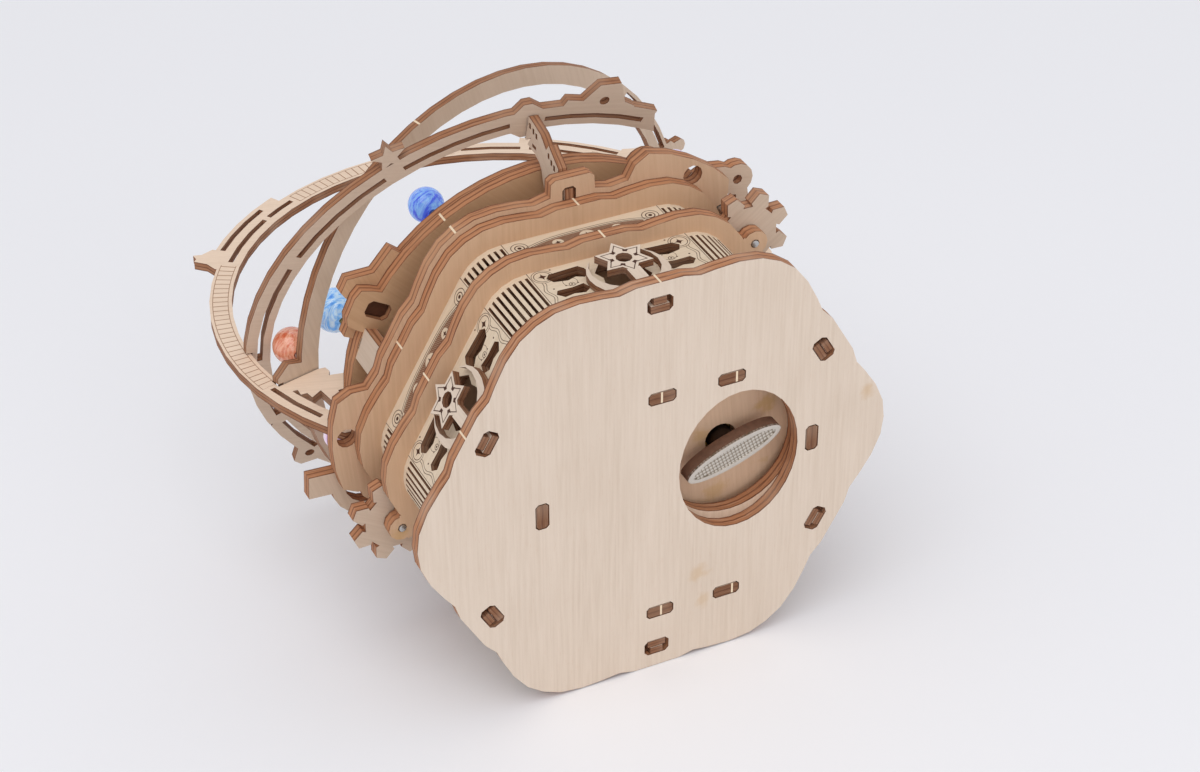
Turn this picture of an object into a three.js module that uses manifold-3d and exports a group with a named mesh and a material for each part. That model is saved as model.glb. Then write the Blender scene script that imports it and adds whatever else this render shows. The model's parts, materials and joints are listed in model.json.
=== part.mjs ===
// A hexagonal plywood music box with armillary rings above it: stacked lobed plates, kerf-bent walls with
// pierced star and crescent ornament, a wind-up movement inside, and geared arms that carry glass planets.
// Millimetres, +Z up, origin at the centre of the bottom plate's underside.
import * as THREE from 'three';
import { mergeVertices } from 'three/addons/utils/BufferGeometryUtils.js';
import Module from 'manifold-3d';

const wasm = await Module();
wasm.setup();

// ---- driving sizes ----
const ply = 3;                       // plywood sheet of every plate
const ringSheet = 2;                 // thinner plywood of the rings and of the upright
const overrun = 1;                   // how far a cutting tool runs past what it cuts
const seatGap = 0.3;                 // clearance between pieces that lie against each other
const runGap = 0.2;                  // radial clearance of a turning shaft
const tabGap = 0.25;                 // clearance round a tab in its slot

// bottom plate and its lobed outline
const baseApothem = 47.5;            // from the axis to the middle of an edge
// half an edge, from its middle to its corner: along the edge and outward, as shares of the apothem
const edgeShares = [[0, 1], [0.107, 1], [0.182, 0.983], [0.255, 0.992], [0.36, 0.998], [0.465, 0.985],
  [0.548, 0.949]];
const deckInset = 3.05;              // the second plate inside the bottom plate's outline
const thirdInset = 2.4;
const fourthInset = 1.25;

// tab slots that show in the bottom plate
const slotRoundShare = 0.22;         // corner radius of a slot, as a share of its width
const ornamentSlotRadius = 42.5;
const ornamentSlotLength = 5.6;
const ornamentSlotWidth = 3.7;
const boxTabLength = 6.2;            // slots of the inner box's walls
const boxWallBack = 20.6;            // middle planes of the inner box's walls
const boxWallFront = -33.15;
const boxWallLeft = -35.06;
const boxWallRight = 25.5;
const boxTabNear = -0.7;             // places of the tabs along the front and back walls
const boxTabFar = -16.1;
const boxWallRun = 9.5;              // how far a wall runs past its last tab
const boxSideHalf = 8;               // half length of the left and right walls

// winding recess
const keyX = -18.2;                  // the winding shaft stands at this X
const keyHoleHalfX = 13.55;
const keyHoleHalfY = 16.6;
const innerHoleRadius = 14.6;
const recessDepth = 7.9;             // underside of the recess floor
const recessShaftHole = 3.6;
const keyLength = 22.3;
const keyWidth = 4.8;
const keyFace = 1.7;                 // outer face of the key, inside the recess
const keyPlateThickness = 0.6;
const keyThickness = 3;
const keyHubRadius = 2.8;
const keyTurn = 161;                 // degrees, how the key stands
const driveShaftRadius = 1.5;

// the lower and upper walls
const wallThickness = 2;
const lowerWallApothem = 40.6;
const upperWallApothem = 40.4;
const wallCornerRadius = 10.5;
const lowerWallHeight = 20.7;
const upperWallHeight = 9.3;
const kerfCount = 8;
const kerfWidth = 0.6;
const kerfBridge = 1.3;              // wood left at both ends of a kerf
const cornerFacets = 4;

// star and crescent ornament on each side
const ornamentSheet = 1.6;
const ornamentGap = 0.2;             // glue line between the wall and each ornament sheet
const starCentreHeight = 15.8;
const starRadius = 5.8;
const starHoleRadius = 1.7;
const crescentOuter = 8.4;
const crescentInner = 7.2;
const crescentShift = 1.7;           // how far the inner circle sits toward the opening
const ornamentTabWidth = 4;

// the upper plates
const gearGap = 8.6;                 // clear height for the gears above the fourth plate
const topPlateRadius = 45.9;
const crownPlateRadius = 45.1;
const lobeRadius = 54.3;             // round corners of the fourth plate
const lobeDegreesShares = [[-15, 0.87], [-14, 0.94], [-11.5, 0.99], [-6, 1], [0, 1.002], [6, 1], [11.5, 0.99],
  [14, 0.94], [15, 0.87]];
const lobeHoleRadius = 2.2;
const lobeHoleOut = 51.2;
const lobeHoleTurn = 2;              // degrees past the lobe's middle
const tongueHalf = 4.7;              // tongue that carries the upright bracket
const tongueOut = 50;
const topEarOut = 50.8;
const crownEarOut = 52.7;
const crownStepOut = 48;
const roundEarRadius = 4.4;
const roundEarOut = 45.5;
const roundEarHole = 1.9;
const postSlotOut = 44.1;            // spacer posts between the fourth plate and the top plate
const postWidth = 7;
const earKeyOut = 44.6;              // wooden key that locks the ears of the two top plates together
const earKeyLength = 5.6;
const earKeyWidth = 3.7;
const postShares = [1 / 18, 5 / 12, 3 / 4];   // where they stand, as shares of a turn

// side spindles with their flower gears
const spindleOut = 47.6;
const spindleDegrees = [-15, 135];
const spindleRadius = 0.8;
const spindleBeadHeight = 59.5;
const spindleBeadRadius = 3.1;
const spindleEarRadius = 2.9;
const flowerRadius = 10;
const flowerRootRadius = 6.6;
const flowerPetals = 8;
const flowerPetalHalf = 2.1;

// side brackets that hold the spindles' tops
const bracketRing = 8.2;
const bracketRingHole = 5.4;
const bracketHubRadius = 2.7;
const blockOut = 56.4;
const blockDegrees = -11;
const blockLength = 7.4;
const blockWidth = 5.2;
const eyeOut = 54.4;
const eyeDegrees = 136.2;
const eyeRadius = 3.6;
const eyeHole = 1.1;

// armillary rings: outer radius, width of the band, and where the sheet lies
const armillaryHeight = 79.35;       // common centre of the meridian and the inner ring
const meridianOuter = 62.9;
const meridianBand = 4.9;
const crescentStrip = 2.4;           // pierced strip outside the meridian, next to each finial
const zenithReach = 3;
const orbitHeight = 72.4;            // centre of the slanted half ring
const orbitStep = 3.6;               // its outer rim inside the meridian's
const orbitBand = 5.4;
const orbitLift = 1;                 // its underside above the plane through its centre
const orbitHoleRadius = 1.1;
const orbitStar = 3.8;
const innerRingClear = 5.1;          // its outer rim inside the meridian's inner rim
const innerRingBand = 4.3;
const innerRingDrop = 0.5;           // its underside below the plane through its centre
const innerLugReach = 4.7;
const innerLugShare = 0.453;         // where its finial stands, as a share of a turn
const innerLugHalf = 3;
const ringSlotWidth = 1.2;
const ringFacets = 54;
const orbitNormalShares = [-0.072, 0.297, 0.952];
const innerNormalShares = [0.256, 0.006, 0.967];
const orbitSpanShares = [-0.164, 0.3265];  // the half ring's two ends, as shares of a turn
// slots: from and to in degrees, and the middle radius as a share of the ring's outer radius
const meridianSlotShares = [[-29.5, -15.3, 0.961], [35, 53, 0.961], [54.5, 62.5, 0.961], [106, 119.5, 0.961],
  [121.5, 134, 0.961], [194, 207, 0.961]];
const crescentSpanShares = [[37, 61], [119, 143]];
const crescentSlotShares = [[39, 56, 1.012], [124, 141, 1.012]];
const orbitSlotShares = [[-42, -27.9, 0.948], [-24.6, -7, 0.948], [-3.5, 25.8, 0.948], [29.5, 56, 0.948],
  [60.5, 84.3, 0.948], [92, 115.6, 0.948]];
const innerSlotShares = [[136.3, 143.8, 0.9735], [149.9, 160, 0.9735], [200, 230, 0.9735], [290, 320, 0.9735]];
// outlines of what stands out from a ring: degrees, and radius as a share of the ring's outer radius
const finialShares = [[32, 0.96], [32, 1.005], [33.6, 1.04], [34.1, 1.09], [35, 1.087], [36.1, 1.105],
  [36.7, 1.076], [38.9, 1.05], [38.9, 0.96]];
const orbitLugShares = [
  [[-46.6, 0.96], [-46, 0.998], [-43.9, 1.054], [-41.8, 1.057], [-39, 0.998], [-38.4, 0.96]],
  [[84.6, 0.96], [85.2, 0.998], [87.1, 1.034], [88.8, 1.034], [91.3, 0.998], [91.9, 0.96]],
  [[83.8, 0.93], [92, 0.93], [91.5, 0.911], [89.5, 0.8786], [86.7, 0.8786], [84.3, 0.911]],
  [[95, 0.96], [95.5, 0.998], [96.2, 1.025], [99.6, 1.017], [102, 1.088], [106, 1.101], [108.9, 1.017],
    [111.6, 1.003], [112, 0.96]],
  [[115, 0.935], [115, 0.999], [117, 0.999], [120.6, 0.911], [115, 0.911]],
];
const orbitNotchShares = [[-27.5, 1.01], [-26.8, 0.988], [-26.1, 1.01]];
const orbitHoleShares = [[104.2, 1.017], [-42.6, 0.99]];
const orbitStarShares = [59.5, 1.034];
const innerTongueShares = [[-4.9, 0.949], [-4.64, 1.005], [-5.3, 1.063], [-2.53, 1.1145], [2.53, 1.1145],
  [5.3, 1.063], [4.64, 1.005], [4.9, 0.949]];
// the meridian's saddle, which stands on the crown plate: across and up from the ring's centre,
// as shares of the ring's inner radius, with a zigzag edge below
const saddleShares = [[0.996, -0.262], [0.94, -0.247], [0.886, -0.225], [0.785, -0.232], [0.779, -0.261],
  [0.791, -0.284], [0.71, -0.299], [0.71, -0.405], [0.8, -0.43], [0.84, -0.434], [0.843, -0.415],
  [0.852, -0.361], [0.895, -0.389], [0.902, -0.356], [0.926, -0.356], [0.926, -0.323], [0.985, -0.318]];

// the upright that carries the half ring
const uprightFootNear = 42.5;
const uprightDepth = 13.5;
const uprightTop = 59.6;
const uprightX = -0.2;               // its left face
const uprightTabY = 45.9;
const uprightTab = 3;
// across and up, as shares of its depth and height
const uprightShares = [[0, 0], [0.6, 0], [0.674, 0.08], [0.83, 0.25], [0.711, 0.324], [0.83, 0.426],
  [0.874, 0.472], [0.941, 0.659], [1, 0.852], [0.985, 0.875], [0.711, 0.992], [0.607, 0.989], [0.511, 0.886],
  [0.644, 0.739], [0.467, 0.841], [0.437, 0.648], [0.363, 0.511], [0.267, 0.455], [0.133, 0.432], [0, 0.392]];
// its windows: across, up, height and width
const uprightWindowShares = [[0.859, 0.83, 0.045, 0.096], [0.837, 0.756, 0.045, 0.096],
  [0.8, 0.665, 0.045, 0.096], [0.77, 0.585, 0.045, 0.096], [0.652, 0.256, 0.045, 0.096],
  [0.585, 0.182, 0.045, 0.096], [0.541, 0.108, 0.045, 0.096], [0.544, 0.651, 0.105, 0.059]];

// gears between the fourth and the top plate
const gearModule = 1.3;
const gearThickness = 3;
const gearLift = 0.5;
const quickTeeth = [12, 16];         // drive shaft to inner shaft
const slowTeeth = [8, 20];           // drive shaft to outer tube
const backlash = 0.3;
const innerShaftRadius = 1.1;
const tubeRadius = 2.7;

// sun and planets
const sunRadius = 8;
const blueRadius = 4;
const blueOut = 25.9;
const blueHeight = 85;
const blueDegrees = 58.6;
const paleRadius = 4.9;
const paleClear = 9.1;               // its wire inside the inner ring's inner rim
const paleHeight = 76.5;
const paleDegrees = 10.6;
const orangeRadius = 4.1;
const orangeRise = 1.23;             // its underside above the inner ring
const orangeDegrees = 4.2;
const wireRadius = 0.7;
const beadBore = 1.6;                // depth of the wire in its bead
const armHubRadius = 4.6;
const armHubHeight = 2.4;

// movement
const frameSheet = 1.5;
const frameHalfX = 22.5;
const frameHalfY = 15;
const frameX = -6.5;
const frameY = -6;
const barrelRadius = 9.4;
const barrelHeight = 7;
const drumX = 3.4;
const drumAxisHeight = 18.1;
const drumRadius = 4.4;
const drumHalfLength = 10;
const drumPinRadius = 4.85;
const drumPinRows = 10;
const drumPinColumns = 4;
const drumBearingSheet = 1.4;
const combThickness = 0.9;
const combTeeth = 12;
const combBackX = 16;
const combToothGapShare = 0.3;
const combRootX = 12.2;
const governorSize = 7;

// ---- heights that follow ----
const deckZ = ply + lowerWallHeight;
const upperWallZ = deckZ + ply;
const thirdZ = upperWallZ + upperWallHeight;
const fourthZ = thirdZ + ply;
const gapZ = fourthZ + ply;
const topZ = gapZ + gearGap;
const crownZ = topZ + ply;
const crownTop = crownZ + ply;
const recessTop = recessDepth + ply;
const frameTop = recessTop + frameSheet;
const degree = Math.PI / 180;
const turn = 2 * Math.PI;
const fullTurn = turn / degree;
const meridianInner = meridianOuter - meridianBand;
const orbitOuter = meridianOuter - orbitStep;
const orbitInner = orbitOuter - orbitBand;
const innerRingOuter = meridianInner - innerRingClear;
const innerRingInner = innerRingOuter - innerRingBand;
const paleOut = innerRingInner - paleClear;
const orangeOut = innerRingOuter * 0.9527;

// ---- materials ----
const birch = new THREE.MeshStandardMaterial({ color: 0xd9bf9c, roughness: 0.75, metalness: 0 });
const birchPale = new THREE.MeshStandardMaterial({ color: 0xe6d3b3, roughness: 0.75, metalness: 0 });
const birchDark = new THREE.MeshStandardMaterial({ color: 0xb98e66, roughness: 0.75, metalness: 0 });
const steel = new THREE.MeshStandardMaterial({ color: 0xb9babb, roughness: 0.35, metalness: 1 });
const brass = new THREE.MeshStandardMaterial({ color: 0xc6a556, roughness: 0.35, metalness: 1 });
const glass = (color) => new THREE.MeshStandardMaterial({ color, roughness: 0.15, metalness: 0 });

// ---- from geometry to solid and back ----
function solid(geometry) {
  geometry.deleteAttribute('normal');
  geometry.deleteAttribute('uv');
  const welded = mergeVertices(geometry);
  return new wasm.Manifold(new wasm.Mesh({
    numProp: 3,
    vertProperties: new Float32Array(welded.attributes.position.array),
    triVerts: new Uint32Array(welded.index.array),
  }));
}

function geometryOf(body) {
  const mesh = body.getMesh();
  const geometry = new THREE.BufferGeometry();
  geometry.setAttribute('position', new THREE.BufferAttribute(mesh.vertProperties, 3));
  geometry.setIndex(new THREE.BufferAttribute(mesh.triVerts, 1));
  geometry.computeVertexNormals();
  return geometry;
}

const joined = (bodies) => bodies.reduce((all, body) => all.add(body));
const cutBy = (body, tools) => tools.reduce((left, tool) => left.subtract(tool), body);

// a flat sheet: an outline pushed up from z by its thickness
function sheet(points, z, thickness = ply) {
  const shape = new THREE.Shape(points);
  return solid(new THREE.ExtrudeGeometry(shape, { depth: thickness, bevelEnabled: false })
    .translate(0, 0, z));
}
// a tool that cuts right through such a sheet
const through = (points, z, thickness = ply) => sheet(points, z - overrun, thickness + 2 * overrun);

// ---- outlines ----
const at = (out, degrees) => new THREE.Vector2(out * Math.cos(degrees * degree), out * Math.sin(degrees * degree));

function disc(x, y, radiusX, facets = 24, radiusY = radiusX) {
  return Array.from({ length: facets }, (_, i) => new THREE.Vector2(
    x + radiusX * Math.cos((i * turn) / facets), y + radiusY * Math.sin((i * turn) / facets)));
}

function block(x, y, sizeX, sizeY, degrees = 0) {
  return [[-0.5, -0.5], [0.5, -0.5], [0.5, 0.5], [-0.5, 0.5]].map(([shareX, shareY]) =>
    new THREE.Vector2(sizeX * shareX, sizeY * shareY)
      .rotateAround(new THREE.Vector2(), degrees * degree).add(new THREE.Vector2(x, y)));
}

// a slot with round corners
function slot(x, y, length, width, degrees = 0) {
  const round = Math.min(length, width) * slotRoundShare;
  return [[1, -1, -90], [1, 1, 0], [-1, 1, 90], [-1, -1, 180]].flatMap(([sideX, sideY, from]) =>
    [0, 90].map((more) => new THREE.Vector2(sideX * (length / 2 - round), sideY * (width / 2 - round))
      .add(at(round, from + more)).rotateAround(new THREE.Vector2(), degrees * degree)
      .add(new THREE.Vector2(x, y))));
}

// the lobed six-sided outline, drawn in by an inset
function lobed(inset) {
  const cornerAlong = edgeShares[edgeShares.length - 1][0];
  const half = edgeShares.map(([along, out]) => {
    const lean = (along / cornerAlong) * 30;
    return [along * baseApothem - inset * Math.sin(lean * degree),
      out * baseApothem - inset * Math.cos(lean * degree)];
  });
  const edge = [...half.slice(1).reverse().map(([along, out]) => [-along, out]), ...half].slice(1);
  return Array.from({ length: 6 }, (_, side) => edge.map(([along, out]) =>
    new THREE.Vector2(out, along).rotateAround(new THREE.Vector2(), ((side + 0.5) * turn) / 6))).flat();
}

// part of a plate given by azimuths and radii, closed toward the axis
function sector(places, root) {
  return [...places.map(([degrees, out]) => at(out, degrees)),
    at(root, places[places.length - 1][0]), at(root, places[0][0])];
}

// an annular strip from one angle to another
function arcStrip(inner, outer, from, to, facets) {
  const step = (to - from) / facets;
  const angles = Array.from({ length: facets + 1 }, (_, i) => from + i * step);
  return [...angles.map((angle) => at(outer, angle)), ...angles.reverse().map((angle) => at(inner, angle))];
}

// ---- plates ----
const corners = [0, 1, 2, 3, 4, 5].map((corner) => (fullTurn / 6) * corner);
const sides = corners.map((corner) => corner + fullTurn / 12);

const boxTabs = [
  [boxTabNear, boxWallBack, 0], [boxTabFar, boxWallBack, 0],
  [boxTabNear, boxWallFront, 0], [boxTabFar, boxWallFront, 0],
  [boxWallLeft, 0, 90], [boxWallRight, 0, 90],
];

const basePlate = cutBy(sheet(lobed(0), 0), [
  through(disc(keyX, 0, keyHoleHalfX, 32, keyHoleHalfY), 0),
  ...sides.map((side) => {
    const place = at(ornamentSlotRadius, side);
    return through(slot(place.x, place.y, ornamentSlotLength, ornamentSlotWidth, side + 90), 0);
  }),
  ...boxTabs.map(([x, y, degrees]) => through(slot(x, y, boxTabLength, ply, degrees), 0)),
]);

const spindlePlaces = spindleDegrees.map((degrees) => at(spindleOut, degrees));
const spindleHole = spindleRadius + runGap;
const spindleHoles = (z) => spindlePlaces.map((p) => through(disc(p.x, p.y, spindleHole, 8), z));
const shaftHole = (z) => through(disc(keyX, 0, driveShaftRadius + runGap, 16), z);
// an ear round a spindle, with a root that reaches into its plate
const spindleEars = (z) => spindleDegrees.flatMap((degrees, i) => {
  const root = at(spindleOut - spindleEarRadius * 1.4, degrees);
  return [sheet(disc(spindlePlaces[i].x, spindlePlaces[i].y, spindleEarRadius, 12), z),
    sheet(block(root.x, root.y, spindleEarRadius * 2.6, spindleEarRadius * 2.2, degrees), z)];
});

const deckPlate = cutBy(joined([sheet(lobed(deckInset), deckZ), ...spindleEars(deckZ)]),
  [...spindleHoles(deckZ), shaftHole(deckZ)]);

const thirdPlate = cutBy(sheet(lobed(thirdInset), thirdZ), [shaftHole(thirdZ)]);

const tongue = [[-1.1, 0.84], [-1.02, 0.985], [-0.8, 1], [0.8, 1], [1.02, 0.985], [1.1, 0.84]]
  .map(([shareX, shareY]) => new THREE.Vector2(tongueHalf * shareX, tongueOut * shareY)).reverse();

const lobeDegrees = [0, 2, 3].map((sixths) => (fullTurn / 6) * sixths);
const fourthPlate = cutBy(joined([
  sheet(lobed(fourthInset), fourthZ),
  ...lobeDegrees.map((middle) => sheet(sector(
    lobeDegreesShares.map(([degrees, share]) => [middle + degrees, lobeRadius * share]), baseApothem * 0.8), fourthZ)),
  sheet(tongue, fourthZ),
  ...spindleEars(fourthZ),
]), [
  ...spindleHoles(fourthZ), shaftHole(fourthZ),
  ...lobeDegrees.map((middle) => {
    const place = at(lobeHoleOut, middle + lobeHoleTurn);
    return through(disc(place.x, place.y, lobeHoleRadius, 12), fourthZ);
  }),
  through(slot(uprightX + ringSheet / 2, uprightTabY, ringSheet + 4 * tabGap, uprightTab + 4 * tabGap), fourthZ),
  through(disc(0, 0, innerShaftRadius + runGap, 12), fourthZ),
]);

const postDegrees = postShares.map((share) => share * fullTurn);
const postTabWidth = postWidth * 0.5;
const earKeyPlace = at(earKeyOut, 30);
const earKeySlot = (z) => through(slot(earKeyPlace.x, earKeyPlace.y, earKeyLength, earKeyWidth, 30), z);
const topPlate = cutBy(joined([
  sheet(disc(0, 0, topPlateRadius, 54), topZ),
  sheet(sector([[23, topPlateRadius * 0.98], [23.6, topEarOut * 0.94], [24.4, topEarOut * 0.98],
    [26.2, topEarOut * 0.995], [31.2, topEarOut], [33.7, topEarOut * 0.99], [34.7, topEarOut * 0.94],
    [35.4, topPlateRadius * 0.98]], topPlateRadius * 0.8), topZ),
  ...[roundEarOut].map((out) => sheet(disc(at(out, 120).x, at(out, 120).y, roundEarRadius, 20), topZ)),
]), [
  earKeySlot(topZ),
  through(disc(0, 0, tubeRadius + runGap, 12), topZ),
  through(disc(at(roundEarOut, 120).x, at(roundEarOut, 120).y, roundEarHole, 12), topZ),
  ...postDegrees.map((degrees) => through(slot(at(postSlotOut, degrees).x, at(postSlotOut, degrees).y,
    postTabWidth + tabGap, ply + tabGap, degrees + 90), topZ)),
]);

const crownPlate = cutBy(joined([
  sheet(disc(0, 0, crownPlateRadius, 54), crownZ),
  sheet(sector([[19, crownPlateRadius * 0.98], [19.6, crownStepOut], [27.8, crownStepOut],
    [30.4, crownEarOut * 0.995], [33.9, crownEarOut], [37.9, crownStepOut], [45.3, crownStepOut],
    [45.8, crownPlateRadius * 0.98]], crownPlateRadius * 0.8), crownZ),
]), [earKeySlot(crownZ), through(disc(0, 0, tubeRadius + runGap, 12), crownZ)]);
const earKey = sheet(slot(earKeyPlace.x, earKeyPlace.y, earKeyLength - tabGap * 2, earKeyWidth - tabGap * 2, 30),
  topZ, 2 * ply);

// spacer posts stand in slots of the top plate
const posts = postDegrees.map((degrees) => {
  const place = at(postSlotOut, degrees);
  return joined([
    sheet(block(place.x, place.y, postWidth, ply, degrees + 90), gapZ, gearGap),
    sheet(slot(place.x, place.y, postTabWidth - tabGap, ply - tabGap, degrees + 90), topZ - overrun, ply + overrun),
  ]);
});

// ---- kerf-bent walls ----
function hexagonLine(apothem, corner) {
  const centreOut = (apothem - corner) / Math.cos(30 * degree);
  return corners.flatMap((middle) => Array.from({ length: cornerFacets + 1 }, (_, i) =>
    at(centreOut, middle).add(at(corner, middle - 30 + (60 * i) / cornerFacets))));
}

function bentWall(apothem, z, height, tools) {
  const shell = sheet(hexagonLine(apothem, wallCornerRadius), z, height)
    .subtract(through(hexagonLine(apothem - wallThickness, wallCornerRadius - wallThickness), z, height));
  const centreOut = (apothem - wallCornerRadius) / Math.cos(30 * degree);
  const kerfs = corners.flatMap((middle) => Array.from({ length: kerfCount }, (_, i) => {
    const angle = middle + (i - (kerfCount - 1) / 2) * (60 / kerfCount);
    const place = at(centreOut, middle).add(at(wallCornerRadius - wallThickness / 2, angle));
    return sheet(block(place.x, place.y, wallThickness * 1.6, kerfWidth, angle),
      z + kerfBridge, height - 2 * kerfBridge);
  }));
  return cutBy(shell, [joined(kerfs), ...tools]);
}

// a tool pushed through a flat side of a wall: u to the right seen from outside, v up
function sideTool(points, side, apothem, depth = wallThickness) {
  const tool = new THREE.ExtrudeGeometry(new THREE.Shape(points),
    { depth: depth + 2 * overrun, bevelEnabled: false });
  tool.rotateX(Math.PI / 2).rotateZ(Math.PI / 2).translate(0, 0, 0);
  // the drawing now lies in the Y-Z plane and its depth runs along +X
  tool.translate(apothem - depth - overrun, 0, 0);
  return solid(tool.rotateZ(side * degree));
}

const panelHalf = (lowerWallApothem - wallCornerRadius) * Math.tan(30 * degree);
const mirrored = (points) => points.map((p) => new THREE.Vector2(-p.x, p.y)).reverse();
const inPanel = (shares) => shares.map(([u, v]) => new THREE.Vector2(u * panelHalf, ply + v * lowerWallHeight));
// pierced openings of the lower wall, as shares of the panel's half width and of the wall's height
const upperOpeningShares = [[0.34, 0.74], [0.43, 0.72], [0.52, 0.76], [0.63, 0.73], [0.79, 0.76],
  [0.84, 0.84], [0.78, 0.9], [0.6, 0.91], [0.41, 0.92], [0.36, 0.86]];
const lowerOpeningShares = [[0.46, 0.53], [0.55, 0.475], [0.68, 0.5], [0.8, 0.48], [0.87, 0.55], [0.83, 0.61],
  [0.65, 0.605], [0.5, 0.625]];
const middleOpeningShares = [[-0.2, 0.41], [0, 0.39], [0.2, 0.41], [0.29, 0.5],
  [0.25, 0.62], [0.3, 0.73], [0.18, 0.86], [-0.18, 0.86], [-0.3, 0.73], [-0.25, 0.62], [-0.29, 0.5]];
const lowerWallTools = sides.flatMap((side) => {
  const upper = inPanel(upperOpeningShares);
  const lower = inPanel(lowerOpeningShares);
  return [upper, mirrored(upper), lower, mirrored(lower), inPanel(middleOpeningShares)]
    .map((points) => sideTool(points, side, lowerWallApothem));
});
const lowerWall = bentWall(lowerWallApothem, ply, lowerWallHeight, lowerWallTools);

// the upper wall lets the flower gears in at two corners
const flowerSlots = spindlePlaces.map((p) => sheet(
  disc(p.x, p.y, flowerRadius + seatGap * 2, 20), upperWallZ - overrun, ply + overrun + seatGap * 4));
const upperWall = bentWall(upperWallApothem, upperWallZ, upperWallHeight, flowerSlots);

// ---- star and crescents ----
// drawn flat, then stood up against the side that faces +X; each side's copy is turned into place
function ornament(outlines, holes, face) {
  const flat = cutBy(joined(outlines.map((points) => sheet(points, 0, ornamentSheet))),
    holes.map((points) => through(points, 0, ornamentSheet)));
  return solid(geometryOf(flat).rotateX(Math.PI / 2).rotateZ(Math.PI / 2).translate(face, 0, 0));
}
const crescentFace = lowerWallApothem + ornamentGap;
const starFace = crescentFace + ornamentSheet + ornamentGap;
const ornamentTab = (width) => [[-1, 0], [1, 0], [1, 1], [-1, 1]].map(([shareX, shareY]) =>
  new THREE.Vector2((width / 2) * shareX, (starCentreHeight - starRadius * 0.7) * shareY));
const starPoints = Array.from({ length: 12 }, (_, i) => {
  const reach = i % 2 ? starRadius * 0.6 : starRadius;
  return new THREE.Vector2(0, starCentreHeight).add(at(reach, 90 + 30 * i));
});
const star = ornament([starPoints, ornamentTab(ornamentTabWidth * 0.7)],
  [disc(0, starCentreHeight, starHoleRadius, 10)], starFace);

const crescentHeight = starCentreHeight - crescentShift * 1.3;
const crescents = ornament([disc(0, crescentHeight, crescentOuter, 24), ornamentTab(ornamentTabWidth)],
  [disc(0, crescentHeight + crescentShift, crescentInner, 18),
    block(0, crescentHeight + crescentOuter, crescentOuter, crescentOuter)], crescentFace);

// ---- inner box ----
const wallRoom = sheet(hexagonLine(lowerWallApothem - wallThickness - seatGap, wallCornerRadius - wallThickness),
  -overrun, deckZ + overrun);
const boxWall = (x, y, length, degrees, tabs) => joined([
  sheet(block(x, y, length, ply, degrees), ply, lowerWallHeight),
  ...tabs.map(([tabX, tabY]) => sheet(slot(tabX, tabY, boxTabLength - tabGap * 2, ply - tabGap * 2, degrees),
    0, ply + overrun)),
]).intersect(wallRoom);
const boxMiddle = (boxTabNear + boxTabFar) / 2;
const boxLength = boxTabNear - boxTabFar + 2 * boxWallRun;
const boxBack = boxWall(boxMiddle, boxWallBack, boxLength, 0, [boxTabs[0], boxTabs[1]]);
const boxFront = boxWall(boxMiddle, boxWallFront, boxLength, 0, [boxTabs[2], boxTabs[3]]);
const boxLeft = boxWall(boxWallLeft, 0, 2 * boxSideHalf, 90, [boxTabs[4]]);
const boxRight = boxWall(boxWallRight, 0, 2 * boxSideHalf, 90, [boxTabs[5]]);

// a sheet that fills the space between the box's walls, inside the bent wall
function boxSheet(z) {
  const centreX = (boxWallLeft + boxWallRight) / 2;
  const centreY = (boxWallFront + boxWallBack) / 2;
  return sheet(block(centreX, centreY, boxWallRight - boxWallLeft - ply, boxWallBack - boxWallFront - ply), z)
    .intersect(wallRoom);
}
const innerPlate = cutBy(boxSheet(ply), [through(disc(keyX, 0, innerHoleRadius, 36), ply)]);
const recessFloor = cutBy(boxSheet(recessDepth), [through(disc(keyX, 0, recessShaftHole, 20), recessDepth)]);

// ---- winding key ----
const lens = (length, width, facets) => Array.from({ length: facets }, (_, i) => {
  const angle = (i * turn) / facets;
  return new THREE.Vector2((length / 2) * Math.cos(angle), (width / 2) * Math.sin(angle))
    .rotateAround(new THREE.Vector2(), keyTurn * degree).add(new THREE.Vector2(keyX, 0));
});
const keyPlate = sheet(lens(keyLength, keyWidth, 32), keyFace, keyPlateThickness);
const keyHeadZ = keyFace + keyPlateThickness;
const keyHead = sheet(lens(keyLength, keyWidth, 32), keyHeadZ, keyThickness);
const keyHub = sheet(disc(keyX, 0, keyHubRadius, 20), keyHeadZ + keyThickness, recessTop - keyHeadZ - keyThickness);
const driveTop = topZ - gearLift;
const driveShaft = joined([keyHub,
  sheet(disc(keyX, 0, driveShaftRadius, 16), recessTop - overrun, driveTop - recessTop + overrun)]);

// ---- gears ----
// involute tooth flanks on a blank, with a tooth's middle at the given angle
function gearOutline(teeth, x, y, turned) {
  const pitch = (teeth * gearModule) / 2;
  const base = pitch * Math.cos(20 * degree);
  const tip = pitch + gearModule * 0.85;
  const root = pitch - gearModule * 1.15;
  const roll = (radius) => (radius > base ? Math.tan(Math.acos(base / radius)) - Math.acos(base / radius) : 0);
  const halfAtPitch = turn / (4 * teeth) - backlash / (2 * pitch);
  const halfAt = (radius) => halfAtPitch + roll(pitch) - roll(radius);
  const flank = [Math.max(base, root + gearModule * 0.2), tip];
  return Array.from({ length: teeth }, (_, i) => {
    const middle = turned * degree + (i * turn) / teeth;
    const point = (radius, angle) => new THREE.Vector2(x + radius * Math.cos(angle), y + radius * Math.sin(angle));
    return [point(root, middle - halfAt(flank[0])),
      ...flank.map((radius) => point(radius, middle - halfAt(radius))),
      ...flank.slice().reverse().map((radius) => point(radius, middle + halfAt(radius))),
      point(root, middle + halfAt(flank[0]))];
  }).flat();
}
const lowGearZ = gapZ + gearLift;
const highGearZ = lowGearZ + gearThickness + gearLift;
const gear = (teeth, x, z, turned, bore) => cutBy(sheet(gearOutline(teeth, x, 0, turned), z, gearThickness),
  [through(disc(x, 0, bore, 12), z, gearThickness)]);
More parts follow.
